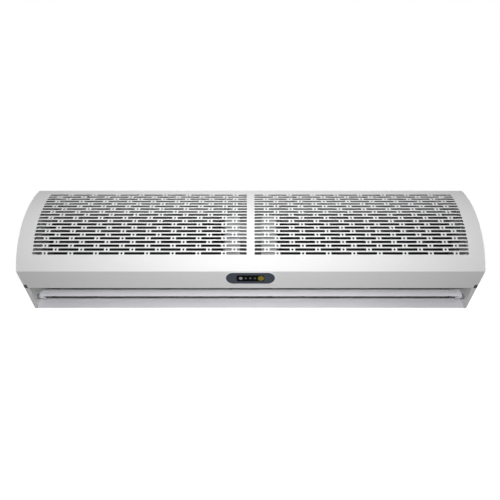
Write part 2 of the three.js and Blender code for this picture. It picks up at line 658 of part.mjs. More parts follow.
// One bracket plate: it closes the end of the duct and carries the shaft line.
function bracket(side, inner, hole, frontFlange, turn) {
  const front = fanCentre[0] - MOTOR_RADIUS - BRACKET_APART;
  const frontFoot = fanCentre[1] - BRACKET_DROP;
  const frontTop = frontFoot + BRACKET_FRONT_HEIGHT;
  const top = HEIGHT - BRACKET_BELOW_TOP;
  const overRamp = rampEnd[1] + CASING_SHEET;
  const behindRamp = rampEnd[0] + 2 * CASING_SHEET;
  const stepRise = BRACKET_STEP * Math.tan(radians(RAMP_SLOPE));
  const [tipLow, tipHigh] = tongueTip;
  const throat = tipLow[0] + BRACKET_THROAT;
  const outline = [
    [front, frontFoot],
    [front, frontTop],
    [coverDepth(top) + BRACKET_CLEAR, top],
    [backInside, top],
    [backInside, onBottom],
    [behindRamp, onBottom],
    [behindRamp, overRamp],
    [behindRamp - BRACKET_STEP, overRamp - stepRise + CASING_SHEET],
    [behindRamp - BRACKET_STEP, BRACKET_VANE_ROOM],
    [throat, tipLow[1] - BRACKET_THROAT_DROP],
    [throat, tipHigh[1] + BRACKET_THROAT / 2],
    [throat - 2 * BRACKET_THROAT, tipHigh[1] + BRACKET_THROAT / 2],
  ];
  const plate = prism(outline, side * inner, side * (inner + BRACKET_SHEET), [hole]);
  const root = turn < 0 ? inner + BRACKET_SHEET : inner;
  const frontSheet = box(
    side * root,
    side * (root + turn * frontFlange),
    front - BRACKET_SHEET,
    front + BRACKET_SHEET / 4,
    frontFoot,
    frontTop,
  );
  const rearReach = root + turn * (BRACKET_REAR_FLANGE + BRACKET_SHEET);
  const rearSheet = box(
    side * root,
    side * rearReach,
    backInside - BRACKET_SHEET,
    backInside,
    REAR_FLANGE_FOOT,
    top - REAR_FLANGE_BELOW_TOP,
  );
  const face = turn < 0 ? inner : inner + BRACKET_SHEET;
  const x = side * (face + (turn * BRACKET_REAR_FLANGE) / 2);
  const holes = bracketScrewHeights.map((z) =>
    acrossWall(x, z, SCREW_RADIUS + FIT, backInside - 2 * BRACKET_SHEET, DEPTH, 8),
  );
  return cut(joined(plate, frontSheet, rearSheet), ...holes);
}

for (const [name, side] of SIDES) {
  const ringSpan = [side * (MOTOR_BRACKET - MOUNT_SHOULDER), side * (MOTOR_BRACKET + BRACKET_SHEET + FIT)];
  const ringBore = [round(fanCentre, MOTOR_BOSS + FIT, 24)];
  piece("motor_mount_" + name, prism(round(fanCentre, MOUNT_RING, 24), ...ringSpan, ringBore), rubber);
  const motorHole = round(fanCentre, MOUNT_RING + FIT, 24);
  piece("motor_bracket_" + name, bracket(side, MOTOR_BRACKET, motorHole, MOTOR_FRONT_FLANGE, -1), galvanised);
  const bearingHole = round(fanCentre, BEARING_RADIUS + FIT);
  const bearingPlate = bracket(side, bearingBracket, bearingHole, BEARING_FRONT_FLANGE, 1);
  piece("bearing_bracket_" + name, bearingPlate, galvanised);
  const bearingMiddle = bearingBracket + BRACKET_SHEET / 2;
  piece(
    "bearing_" + name,
    prism(
      round(fanCentre, BEARING_RADIUS),
      side * (bearingMiddle - BEARING_LENGTH / 2),
      side * (bearingMiddle + BEARING_LENGTH / 2),
      [round(fanCentre, SHAFT_RADIUS + TURNING)],
    ),
    steel,
  );
}

// ---------------------------------------------------------------- impellers
function bladeOutlines() {
  const outlines = [];
  for (let i = 0; i < BLADES; i++) {
    const turn = (2 * Math.PI * i) / BLADES;
    const lean = turn + radians(BLADE_LEAN) / 2;
    const [inner, outer] = [
      [fanCentre[0] + BLADE_INNER * Math.cos(turn), fanCentre[1] + BLADE_INNER * Math.sin(turn)],
      [fanCentre[0] + BLADE_OUTER * Math.cos(lean), fanCentre[1] + BLADE_OUTER * Math.sin(lean)],
    ];
    outlines.push(bentSheet([inner, outer], BLADE_THICK));
  }
  return outlines;
}

function impeller(side) {
  const rim = round(fanCentre, FAN_RADIUS, 32);
  const disc = (near, boreRadius, sides) =>
    prism(rim, side * near, side * (near + FAN_DISC), [round(fanCentre, boreRadius, sides)]);
  const rings = [];
  for (let i = 1; i <= MIDDLE_RINGS; i++) {
    const near = FAN_START + ((fanEnd - FAN_START - FAN_DISC) * i) / (MIDDLE_RINGS + 1);
    rings.push(disc(near, RING_INNER, 20));
  }
  const intoDisc = FAN_DISC / 2;
  const [bladeStart, bladeEnd] = [FAN_START + intoDisc, fanEnd - intoDisc];
  const blades = bladeOutlines().map((outline) => prism(outline, side * bladeStart, side * bladeEnd));
  const inner = disc(FAN_START, HUB_RADIUS + FIT, 16);
  const outer = disc(fanEnd - FAN_DISC, SHAFT_RADIUS + FIT, 16);
  return joined(inner, mergeGeometries(blades), ...rings, outer);
}

for (const [name, side] of SIDES) {
  piece("impeller_" + name, impeller(side), darkPlastic);
  const hubStart = FAN_START + FAN_DISC / 2 - HUB_LENGTH / 2;
  const hubBore = [round(fanCentre, SHAFT_RADIUS + FIT)];
  piece(
    "impeller_hub_" + name,
    prism(round(fanCentre, HUB_RADIUS), side * hubStart, side * (hubStart + HUB_LENGTH), hubBore),
    rubber,
  );
  const flangeStart = fanEnd + FIT;
  const stub = prism(
    round(fanCentre, SHAFT_RADIUS),
    side * (fanEnd - END_SHAFT_INSIDE),
    side * (bearingBracket + BRACKET_SHEET / 2 + BEARING_LENGTH / 2 + SHAFT_END),
  );
  const flangeEnd = flangeStart + END_FLANGE_THICK;
  const flange = prism(round(fanCentre, END_FLANGE), side * flangeStart, side * flangeEnd);
  piece("end_shaft_" + name, joined(stub, flange), steel);
}

// ---------------------------------------------------------------- display and button
const disc = (x, radius) => round([x, PILL_DOWN], radius, 12);
const rimFront = -PILL_PROUD - FIT;

function bezel() {
  const windowHole = oblong(windowLength + 2 * FIT, WINDOW_WIDTH + 2 * FIT);
  const rim = slab(stadium(PILL_LENGTH, PILL_WIDTH), rimFront, -FIT, [windowHole]);
  const body = stadium(PILL_LENGTH - 2 * PILL_RIM, PILL_WIDTH - 2 * PILL_RIM);
  const inside = PILL_RIM + PILL_WALL;
  const hollow = stadium(PILL_LENGTH - 2 * inside, PILL_WIDTH - 2 * inside);
  return joined(rim, slab(body, -FIT - PILL_PROUD / 2, BOARD_DEPTH - FIT, [hollow]));
}
piece("display_bezel", bezel(), slatePlastic, panel);

const windowFront = rimFront + FIT;
const windowBack = windowFront + WINDOW_THICK;
const windowHoles = [
  disc(RECEIVER_AT, RECEIVER_RADIUS + FIT),
  ...LED_AT.map((x) => disc(x, LED_RADIUS + FIT)),
  disc(buttonAt, BUTTON_RADIUS + TURNING),
];
piece(
  "display_window",
  slab(oblong(windowLength, WINDOW_WIDTH), windowFront, windowBack, windowHoles),
  blackGloss,
  panel,
);

piece(
  "signal_receiver",
  slab(disc(RECEIVER_AT, RECEIVER_RADIUS), rimFront, BOARD_DEPTH - FIT),
  palePlastic,
  panel,
);

function lightGuide() {
  const barBack = windowBack + FIT + GUIDE_BAR;
  const barLength = LED_AT[2] - LED_AT[0] + LED_RADIUS / 2;
  const bar = slab(oblong(barLength, 2 * LED_RADIUS, (LED_AT[0] + LED_AT[2]) / 2), windowBack + FIT, barBack);
  const pips = LED_AT.map((x) => slab(disc(x, LED_RADIUS), windowFront, windowBack + GUIDE_BAR));
  const leg = slab(oblong(2 * LED_RADIUS, 2 * LED_RADIUS, LED_AT[1]), windowBack + FIT, BOARD_DEPTH - FIT);
  return joined(bar, leg, ...pips);
}
piece("indicator_light_guide", lightGuide(), ledPlastic, panel);

const switchFront = BOARD_DEPTH - FIT - SWITCH_HEIGHT;

function powerButton() {
  const flangeBack = windowBack + FIT + BUTTON_FLANGE;
  const cap = slab(disc(buttonAt, BUTTON_RADIUS), rimFront - BUTTON_PROUD, flangeBack);
  const flange = slab(disc(buttonAt, BUTTON_RADIUS + TURNING + BUTTON_FLANGE), windowBack + FIT, flangeBack);
  const stem = slab(disc(buttonAt, BUTTON_STEM), windowBack, switchFront - BUTTON_TRAVEL - FIT);
  return joined(cap, flange, stem);
}
piece("power_button", powerButton(), goldPlastic, panel);

piece(
  "push_switch",
  slab(oblong(SWITCH_SIZE, SWITCH_SIZE, buttonAt), switchFront, BOARD_DEPTH - FIT),
  darkPlastic,
  panel,
);
piece(
  "control_board",
  slab(oblong(BOARD_LENGTH, BOARD_WIDTH), BOARD_DEPTH, BOARD_DEPTH + BOARD_THICK),
  boardGreen,
  panel,
);

// ---------------------------------------------------------------- electrics
const capacitorHalf = CAPACITOR_LENGTH / 2;
const capacitorAt = [
  backInside - CAPACITOR_GAP - CAPACITOR_RADIUS,
  scrollTop[1] - CAPACITOR_DROP - CAPACITOR_RADIUS,
];
piece("capacitor", prism(round(capacitorAt, CAPACITOR_RADIUS), -capacitorHalf, capacitorHalf), palePlastic);

function capacitorClip() {
  const [y, z] = capacitorAt;
  const outer = CAPACITOR_RADIUS + FIT + CLIP_SHEET;
  const half = CLIP_WIDTH / 2;
  const band = prism(round(capacitorAt, outer), -half, half);
  const footTop = z - outer + CLIP_SHEET;
  const foot = box(-half, half, y, backInside, footTop - CLIP_FOOT, footTop);
  const neck = box(-half, half, y - CLIP_SHEET, y + CLIP_SHEET, footTop - CLIP_FOOT, z);
  const bore = prism(round(capacitorAt, CAPACITOR_RADIUS + FIT), -HALF, HALF);
  return cut(joined(band, foot, neck), bore);
}
piece("capacitor_clip", capacitorClip(), galvanised);

function terminalBlock() {
  const [wide, deep, high] = TERMINAL;
  const [x0, y1] = [terminalAt - wide / 2, backInside - TERMINAL_GAP];
  const body = solidOf(box(x0, x0 + wide, y1 - deep, y1, onBottom, onBottom + high));
  const [wayWidth, wayDepth] = TERMINAL_WAY;
  const pitch = wide / TERMINAL_WAYS;
  const ways = [];
  for (let i = 0; i < TERMINAL_WAYS; i++) {
    const middle = x0 + pitch * (i + 0.5);
    ways.push(
      box(
        middle - wayWidth / 2,
        middle + wayWidth / 2,
        y1 - wayDepth,
        y1 + THROUGH,
        onBottom + high / 2,
        onBottom + high + THROUGH,
      ),
    );
  }
  return cut(body, ...ways);
}
piece("terminal_block", terminalBlock(), palePlastic);

function grommet() {
  const bore = acrossWall(terminalAt, GROMMET_HEIGHT, GROMMET_BORE, 0, DEPTH);
  const neck = acrossWall(terminalAt, GROMMET_HEIGHT, GROMMET_RADIUS, backInside - THROUGH, casingBack);
  const flangeRadius = GROMMET_RADIUS + GROMMET_FLANGE;
  const flangeFront = backInside - GROMMET_FLANGE;
  const flange = acrossWall(terminalAt, GROMMET_HEIGHT, flangeRadius, flangeFront, backInside);
  return cut(joined(neck, flange), bore);
}
piece("cable_grommet", grommet(), rubber);

// ---------------------------------------------------------------- screws
// A round-headed screw, its head's seat at the origin and its shank along -Y.
function screw(shank, head) {
  const profile = [
    [0, -shank],
    [SCREW_RADIUS, -shank],
    [SCREW_RADIUS, 0],
    [SCREW_HEAD, 0],
    [SCREW_HEAD, head],
    [0, head],
  ];
  return new THREE.LatheGeometry(
    profile.map(([r, y]) => new THREE.Vector2(r, y)),
    10,
  );
}

coverScrewsAt.forEach((x, i) => {
  const geometry = screw(COVER_SCREW_LENGTH, COVER_SCREW_HEAD).rotateX(Math.PI / 2);
  geometry.translate(x, topSeam - COVER_SCREW_EDGE, HEIGHT - COVER_SCREW_HEAD);
  piece("cover_screw_" + (i + 1), geometry, steel);
});

for (const [name, x, z] of bracketScrews()) {
  const seat = backInside - BRACKET_SHEET - FIT;
  const geometry = screw(casingBack - seat, SCREW_HEAD_HEIGHT).rotateX(Math.PI);
  piece(name, geometry.translate(x, seat, z), steel);
}

export default unit;
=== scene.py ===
"""A wall-hung air curtain, dressed over its fixed CAD frame. Metres, +Z up, front at -Y."""

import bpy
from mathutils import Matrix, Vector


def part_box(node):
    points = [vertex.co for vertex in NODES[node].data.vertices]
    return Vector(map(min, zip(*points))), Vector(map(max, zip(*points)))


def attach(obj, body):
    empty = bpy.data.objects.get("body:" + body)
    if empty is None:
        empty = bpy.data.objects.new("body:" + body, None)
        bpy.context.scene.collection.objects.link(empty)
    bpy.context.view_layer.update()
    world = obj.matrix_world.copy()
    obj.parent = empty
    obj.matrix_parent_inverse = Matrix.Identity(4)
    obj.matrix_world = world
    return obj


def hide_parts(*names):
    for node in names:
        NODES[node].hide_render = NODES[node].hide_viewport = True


bl_info = {
    "name": "Air Curtain",
    "version": (1, 0, 0),
    "blender": (4, 5, 0),
    "location": "3D View > Sidebar > Air Curtain",
    "description": "Models a wall-hung air curtain piece by piece",
    "category": "Add Mesh",
}

from contextlib import contextmanager
from math import asin, atan2, cos, exp, hypot, pi, radians, sin

import bmesh
import bpy
from bpy.props import FloatProperty, FloatVectorProperty, IntProperty, PointerProperty
from mathutils import Matrix, Vector

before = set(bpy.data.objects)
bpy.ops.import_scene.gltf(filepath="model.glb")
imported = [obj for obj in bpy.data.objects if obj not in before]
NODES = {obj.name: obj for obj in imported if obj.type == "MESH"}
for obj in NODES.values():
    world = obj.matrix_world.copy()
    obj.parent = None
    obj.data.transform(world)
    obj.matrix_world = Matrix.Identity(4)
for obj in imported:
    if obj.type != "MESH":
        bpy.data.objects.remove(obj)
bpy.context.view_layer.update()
MM = 0.001
CLOSE = 0.01 * MM  # corners nearer than this are merged, or count as being at a place
NEARLY = 0.1 * MM  # the same, less strict
FIT = 0.3 * MM  # gap between two pieces that are pushed together
SIDES = (("left", -1), ("right", 1))
COVER_LOW, COVER_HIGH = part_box("front_cover")
CASING_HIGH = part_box("back_casing")[1]
FAN_LOW, FAN_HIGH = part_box("impeller_right")
PLATE_LOW, PLATE_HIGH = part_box("wall_plate")
RAMP_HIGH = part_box("outlet_lip")[1]
HALF = COVER_HIGH.x
FRONT = COVER_LOW.y
TOP = COVER_HIGH.z
SEAM = COVER_HIGH.y
AXIS = (FAN_LOW + FAN_HIGH) / 2


# ---------------------------------------------------------------- sizes and colours
def length(name, description, default):
    return FloatProperty(
        name=name, description=description, default=default, unit="LENGTH", subtype="DISTANCE"
    )


def angle(name, description, degrees):
    return FloatProperty(
        name=name, description=description, default=radians(degrees), unit="ROTATION", subtype="ANGLE"
    )


def colour(name, description, default):
    return FloatVectorProperty(
        name=name, description=description, default=default, size=3, min=0, max=1, subtype="COLOR"
    )


class CoverSizes(bpy.types.PropertyGroup):
    crease: length("Crease height", "Edge between the curved cover and the lower panel", 79 * MM)
    strip: length("Upright strip", "Flat strip between the crease and the curve", 8 * MM)
    radius: length("Curve radius", "Radius of the curved cover", 195 * MM)
    panel: length("Lower panel", "Width of the lower panel down its slant", 45 * MM)
    lip: length("Panel lip", "Width of the edge folded inwards", 10 * MM)
    sheet: length("Sheet", "Thickness of the cover's steel", 1 * MM)
    end_round: length("End rounding", "Rounding between the cover and its side walls", 1.6 * MM)
    fold_round: length("Fold rounding", "Rounding of the folds along the length", 1.2 * MM)
    first_row: length("First row", "Arc length from the foot of the curve to the lowest row", 27 * MM)
    pitch: length("Row pitch", "Distance between two rows of slots", 7.5 * MM)
    rows: IntProperty(name="Rows", description="Number of rows of slots", default=20, min=2)
    slot: length("Slot length", "Length of a whole slot", 39.2 * MM)
    half_slot: length("Half slot", "Length of the short slot that fills a row", 18.8 * MM)
    slot_width: length("Slot width", "Width of a slot", 5 * MM)
    slot_corner: length("Slot corner", "Rounding of a slot's corners", 1.5 * MM)
    dot: length("Dot", "Diameter of the hole between two slots", 4.4 * MM)
    dot_space: length("Dot space", "Length that a dot and its webs take in a row", 9.9 * MM)
    centre_bar: length("Centre bar", "Plain strip between the two slotted fields", 15 * MM)
    whole_slots: IntProperty(
        name="Whole slots", description="Whole slots in half a row", default=8, min=1
    )


class OutletSizes(bpy.types.PropertyGroup):
    bottom_front: length("Bottom front", "Depth at which the flat bottom starts", 67 * MM)
    ramp_slope: angle("Ramp slope", "Rise of the ramp's front behind the bottom edge", 58)
    ramp_width: length("Ramp width", "Width of the ramp's steep front", 12 * MM)
    ramp_bend: angle("Ramp bend", "Rise of the ramp behind its steep front", 36)
    ramp_run: length("Ramp run", "Width of the ramp behind its steep front", 14 * MM)
    lip_sheet: length("Lip sheet", "Thickness of the ramp plate", 1.5 * MM)
    vane_thick: length("Vane thickness", "Thickness of the vane", 1.4 * MM)
    vane_camber: length("Vane camber", "Height of the vane's arch", 0.8 * MM)
    flange_top: length("Flange top", "Width of the mouth flange at the panel", 11 * MM)
    flange_foot: length("Flange foot", "Width of the mouth flange at the bottom", 7 * MM)
    cap_round: length("Cap rounding", "Rounding of an end cap's outer edges", 2.2 * MM)


class FanSizes(bpy.types.PropertyGroup):
    blades: IntProperty(name="Blades", description="Blades of one impeller", default=36, min=8)
    blade_inner: length("Blade inner radius", "Radius of a blade's inner edge", 38.5 * MM)
    blade_outer: length("Blade outer radius", "Radius of a blade's outer edge", 49 * MM)
    blade_thick: length("Blade thickness", "Thickness of a blade", 0.9 * MM)
    blade_lean: angle("Blade lean", "Turn from a blade's inner to its outer edge", 11)
    rings: IntProperty(
        name="Rings", description="Carrier rings between the two end discs", default=5, min=1
    )
    ring: length("Ring thickness", "Thickness of a carrier ring", 2 * MM)


class DisplaySizes(bpy.types.PropertyGroup):
    down: length("Display place", "From the crease down to the middle of the display", 16.9 * MM)
    across: length("Display offset", "From the unit's middle to the middle of the display", -0.5 * MM)
    pill_length: length("Rim length", "Length of the display's rim", 95 * MM)
    pill_width: length("Rim width", "Width of the display's rim", 28.5 * MM)
    window_length: length("Window length", "Length of the black window", 54 * MM)
    window_width: length("Window width", "Width of the black window", 16 * MM)
    receiver_at: length("Receiver place", "Signal receiver, from the unit's middle", -19.2 * MM)
    light_at: length("First light", "First indicator light, from the unit's middle", -9.6 * MM)
    light_pitch: length("Light pitch", "Distance between two indicator lights", 9 * MM)
    light: length("Light radius", "Radius of an indicator light", 2.2 * MM)
    button_at: length("Button place", "Button, from the unit's middle", 20 * MM)
    button: length("Button radius", "Radius of the button", 6 * MM)


class Finishes(bpy.types.PropertyGroup):
    paint: colour("Paint", "Powder coat of the steel sheets", (0.80, 0.80, 0.80))
    cap_plastic: colour("Cap plastic", "Moulded end caps", (0.77, 0.775, 0.77))
    # Brighter and bluer than the cover's paint: the vane's own whitish plastic, lifted with painted
    # light where the outlet mouth lies in shade.
    vane_plastic: colour("Vane plastic", "Outlet vane", (0.92, 0.915, 0.955))
    zinc: colour("Zinc", "Galvanised sheet", (0.26, 0.265, 0.27))
    steel: colour("Steel", "Motor shell and screws", (0.16, 0.163, 0.167))
    fan_plastic: colour("Fan plastic", "Impellers", (0.008, 0.0085, 0.0095))
    slate: colour("Slate plastic", "Rim of the display", (0.034, 0.043, 0.060))
    gold: colour("Gold", "Power button", (0.20, 0.16, 0.004))


class StageSizes(bpy.types.PropertyGroup):
    camera_away: length("Camera distance", "Camera in front of the middle of the unit", 0.8527)
    camera_height: length("Camera height", "Camera over the unit's bottom", 0.1107)
    lens: FloatProperty(name="Lens", description="Focal length on a 36 mm sensor", default=28.5)
    shift_x: FloatProperty(name="Shift across", description="Camera shift across", default=-0.0013)
    shift_y: FloatProperty(name="Shift up", description="Camera shift upwards", default=0.01)
    floor_drop: length("Floor drop", "Floor under the unit's bottom", 0.6)
    key_power: FloatProperty(
        name="Key power", description="Power of the lamp by the camera", default=5.5
    )
    key_away: length("Key distance", "Lamp by the camera, in front of the middle of the unit", 0.9)
    key_height: length("Key height", "Lamp by the camera, over the unit's bottom", 0.15)
    top_power: FloatProperty(
        name="Top power", description="Power of the wide lamp overhead", default=3.1
    )
    back_power: FloatProperty(name="Back power", description="Power of each lamp behind", default=9.0)
    room: FloatProperty(
        name="Room light", description="Level of the even light all round", default=0.04
    )


def settings(name):
    return getattr(bpy.context.scene, "air_curtain_" + name)


# ---------------------------------------------------------------- modelling by hand
def only(*pieces):
    """Leaves just these pieces selected, the first one active."""
    if bpy.context.object and bpy.context.object.mode != "OBJECT":
        bpy.ops.object.mode_set(mode="OBJECT")
    bpy.ops.object.select_all(action="DESELECT")
    for piece in pieces:
        piece.select_set(True)
    if pieces:
        bpy.context.view_layer.objects.active = pieces[0]


@contextmanager
def editing(piece):
    only(piece)
    bpy.ops.object.mode_set(mode="EDIT")
    bpy.ops.mesh.select_mode(type="VERT")
    yield
    bpy.ops.object.mode_set(mode="OBJECT")


def everything():
    bpy.ops.mesh.select_all(action="SELECT")


def merge_close():
    everything()
    bpy.ops.mesh.remove_doubles(threshold=CLOSE)


def face_outwards():
    everything()
    bpy.ops.mesh.normals_make_consistent(inside=False)


def pull(by):
    """Extrudes what is selected."""
    bpy.ops.mesh.extrude_region_move(TRANSFORM_OT_translate={"value": by})


def draw_on(by):
    """Extrudes the selected corner into an edge."""
    bpy.ops.mesh.extrude_vertices_move(TRANSFORM_OT_translate={"value": by})


def bevel(offset, segments):
    bpy.ops.mesh.bevel(offset=offset, segments=segments, affect="EDGES")


def settle(piece):
    """Puts the piece's place, turn and scale into its mesh."""
    only(piece)
    bpy.ops.object.transform_apply(location=True, rotation=True, scale=True)
    return piece


def named(name):
    piece = bpy.context.object
    piece.name = name
    piece.data.name = name
    return piece


def add_block(name, low, high):
    only()
    low, high = Vector(low), Vector(high)
    bpy.ops.mesh.primitive_cube_add(size=1, location=(low + high) / 2)
    piece = named(name)
    piece.scale = high - low
    return settle(piece)


TURN_TO = {"X": (0, pi / 2, 0), "Y": (pi / 2, 0, 0), "Z": (0, 0, 0)}


def add_drum(name, middle, radius, depth, axis="X", sides=32, top_radius=None):
    """A cylinder or cone with flats, not corners, on its four sides."""
    only()
    bpy.ops.mesh.primitive_cone_add(
        vertices=sides,
        radius1=radius,
        radius2=radius if top_radius is None else top_radius,
        depth=depth,
        rotation=(0, 0, pi / sides),
    )
    piece = settle(named(name))
    piece.rotation_euler = TURN_TO[axis]
    piece.location = middle
    return settle(piece)


def add_line(name, points):
    """A chain of edges, drawn by extruding one corner from point to point."""
    only()
    points = [Vector(point) for point in points]
    bpy.ops.mesh.primitive_plane_add(size=MM, location=points[0])
    piece = settle(named(name))
    with editing(piece):
        everything()
        bpy.ops.mesh.merge(type="CENTER")
        for here, there in zip(points, points[1:]):
            draw_on(there - here)
    return piece


def add_plate(name, outline, x0, x1):
    """A flat outline of [y, z] points, filled and extruded from x0 to x1."""
    corners = [(x0, y, z) for y, z in outline]
    piece = add_line(name, corners + corners[:1])
    with editing(piece):
        merge_close()
        everything()
        bpy.ops.mesh.edge_face_add()
        pull((x1 - x0, 0, 0))
        face_outwards()
    return piece


def add_sheet(name, path, x0, x1):
    """A thin sheet that follows [y, z] points, from x0 to x1."""
    piece = add_line(name, [(x0, y, z) for y, z in path])
    with editing(piece):
        everything()
        pull((x1 - x0, 0, 0))
    return piece


def middle_of(part):
    corners = [part] if isinstance(part, bmesh.types.BMVert) else part.verts
    return sum((corner.co for corner in corners), Vector()) / len(corners)


def spans(edge, axis):
    """How far an edge reaches along an axis, 0 to 2 for X to Z."""
    return abs(edge.verts[0].co[axis] - edge.verts[1].co[axis])


def lies_at(edge, axis, place, within=CLOSE):
    return all(abs(end.co[axis] - place) < within for end in edge.verts)


def ends_in_walls(edge):
    """Whether both ends lie in the plane of a side wall. An edge from wall to wall counts too."""
    return all(abs(abs(end.co.x) - HALF) < CLOSE for end in edge.verts)


def pick(piece, kind, test):
    """In edit mode, selects the verts, edges or faces that pass the test, and says how many."""
    modes = {"verts": "VERT", "edges": "EDGE", "faces": "FACE"}
    bpy.ops.mesh.select_mode(type=modes[kind])
    bpy.ops.mesh.select_all(action="DESELECT")
    mesh = bmesh.from_edit_mesh(piece.data)
    found = [part for part in getattr(mesh, kind) if test(part)]
    for part in found:
        part.select_set(True)
    mesh.select_flush_mode()
    bmesh.update_edit_mesh(piece.data)
    return len(found)


def move(by):
    bpy.ops.transform.translate(value=by)


def use(piece, kind, **values):
    """Adds a modifier and applies it."""
    only(piece)
    bpy.ops.object.modifier_add(type=kind)
    added = piece.modifiers[-1]
    for name, value in values.items():
        setattr(added, name, value)
    bpy.ops.object.modifier_apply(modifier=added.name)
    return piece


def thicken(piece, thickness, near, towards):
    """Gives a sheet its thickness, on the side that "towards" points to at the face by "near"."""
    near, towards = Vector(near), Vector(towards)
    face = min(piece.data.polygons, key=lambda polygon: (polygon.center - near).length)
    side = 1 if face.normal.dot(towards) > 0 else -1
    return use(
        piece,
        "SOLIDIFY",
        solidify_mode="NON_MANIFOLD",
        nonmanifold_thickness_mode="CONSTRAINTS",
        thickness=thickness,
        offset=side,
    )


def round_edges(piece, width, segments=2, sharper=30):
    return use(
        piece,
        "BEVEL",
        width=width,
        segments=segments,
        limit_method="ANGLE",
        angle_limit=radians(sharper),
        use_clamp_overlap=True,
    )


def join(*pieces):
    only(*pieces)
    if len(pieces) > 1:
        bpy.ops.object.join()
    return pieces[0]


def combine(piece, other, operation):
    use(piece, "BOOLEAN", object=other, operation=operation, solver="MANIFOLD")
    bpy.data.objects.remove(other)
    return piece


def cut(piece, *tools):
    return combine(piece, join(*tools), "DIFFERENCE")


def weld(piece, *others):
    for other in others:
        combine(piece, other, "UNION")
    return piece


def copied(piece, name, change):
    """A copy with its own mesh, changed by a matrix."""
    only(piece)
    bpy.ops.object.duplicate()
    twin = named(name)
    twin.matrix_world = change @ twin.matrix_world
    settle(twin)
    if change.determinant() < 0:
        with editing(twin):
            face_outwards()
    return twin


MIRROR = Matrix.Diagonal((-1, 1, 1, 1))


def mirrored(piece):
    """Moves a piece from the right end to the left one, as its mirror image."""
    piece.matrix_world = MIRROR
    settle(piece)
    with editing(piece):
        face_outwards()
    return piece


def refined(node, name, width):
    """A copy of a CAD node with its triangles merged into faces and its edges rounded."""
    piece = copied(NODES[node], name, Matrix.Identity(4))
    piece.parent = None
    for key in list(piece.keys()):
        del piece[key]
    piece.data.materials.clear()
    with editing(piece):
        everything()
        bpy.ops.mesh.remove_doubles(threshold=0.005 * MM)
        bpy.ops.mesh.dissolve_limited(angle_limit=radians(0.5))
    return round_edges(piece, width)


def complete(piece, coat, body, nodes, slot=None, sharp=32):
    """Smooths a piece, gives it the finish named coat, and hangs it on its body.

    The slot argument is not used."""
    slot = slot or coat
    only(piece)
    bpy.ops.object.shade_smooth_by_angle(angle=radians(sharp))
    use(piece, "WEIGHTED_NORMAL", keep_sharp=True, weight=50)
    piece.data.materials.clear()
    piece.data.materials.append(finish(coat))
    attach(piece, body)
    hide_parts(*nodes)
    return piece


def onto_panel(piece):
    """Lays a piece drawn flat on the lower panel: X along it, Y down its slant, Z into the casing."""
    down = down_slant()
    turned = Matrix.Rotation(atan2(down.z, down.y), 4, "X")
    piece.matrix_world = Matrix.Translation((0, FRONT, settings("cover").crease)) @ turned
    return settle(piece)


# ---------------------------------------------------------------- the section
def section(depth, height):
    """[y, z] of a point at this depth behind the crease and this height over the bottom."""
    return (FRONT + depth, height)


def by_mouth(depth, height):
    """A point at this depth behind the front edge of the flat bottom, and at this height."""
    return Vector((0, *section(settings("outlet").bottom_front + depth, height)))


def down_slant():
    """Direction down the lower panel and the mouth's edges."""
    run = Vector((0, settings("outlet").bottom_front, -settings("cover").crease))
    return run.normalized()


def inward():
    down = down_slant()
    return Vector((0, -down.z, down.y))


def panel_end():
    """[y, z] of the lower panel's bottom edge."""
    cover = settings("cover")
    down = down_slant() * cover.panel
    return (FRONT + down.y, cover.crease + down.z)


def top_angle():
    cover = settings("cover")
    return asin((TOP - cover.crease - cover.strip) / cover.radius)


def curve_centre():
    cover = settings("cover")
    return Vector((0, FRONT + cover.radius, cover.crease + cover.strip))


def around(centre, turn):
    """The matrix that turns a piece about an axis along X, from the front up and over."""
    there = Matrix.Translation(centre)
    return there @ Matrix.Rotation(-turn, 4, "X") @ there.inverted()


# ---------------------------------------------------------------- finishes
MIX_VECTORS = (4, 5)  # where a Mix node keeps its two vectors and its two colours
MIX_COLOURS = (6, 7)


def put(tree, kind, inputs=None, **values):
    """Adds a node. A socket given as an input is linked, anything else is set."""
    node = tree.nodes.new(kind)
    for name, value in values.items():
        setattr(node, name, value)
    for name, value in (inputs or {}).items():
        if isinstance(value, bpy.types.NodeSocket):
            tree.links.new(value, node.inputs[name])
        else:
            node.inputs[name].default_value = value
    return node


def calc(tree, operation, first, second, **values):
    """The result of two values in a Math node."""
    node = put(tree, "ShaderNodeMath", {0: first, 1: second}, operation=operation, **values)
    return node.outputs[0]


def shared(name, make):
    """The node group of that name, made the first time that a finish asks for it."""
    return bpy.data.node_groups.get(name) or make(name)


def new_group(name, inputs, outputs):
    tree = bpy.data.node_groups.new(name, "ShaderNodeTree")
    for label, kind, default in inputs:
        socket = tree.interface.new_socket(label, in_out="INPUT", socket_type=kind)
        socket.default_value = default
    for label, kind in outputs:
        tree.interface.new_socket(label, in_out="OUTPUT", socket_type=kind)
    return tree, put(tree, "NodeGroupInput"), put(tree, "NodeGroupOutput")


def surface_grain(name):
    """Height of a fine grain, such as orange peel in paint or the texture of a mould."""
    tree, given, result = new_group(
        name,
        [("Size", "NodeSocketFloat", 600.0), ("Depth", "NodeSocketFloat", 1.0)],
        [("Height", "NodeSocketFloat")],
    )
    place = put(tree, "ShaderNodeTexCoord").outputs["Object"]
    noise = put(
        tree,
        "ShaderNodeTexNoise",
        {"Vector": place, "Scale": given.outputs["Size"], "Detail": 2.0, "Roughness": 0.6},
    )
    deep = calc(tree, "MULTIPLY", noise.outputs["Fac"], given.outputs["Depth"])
    tree.links.new(deep, result.inputs["Height"])
    return tree


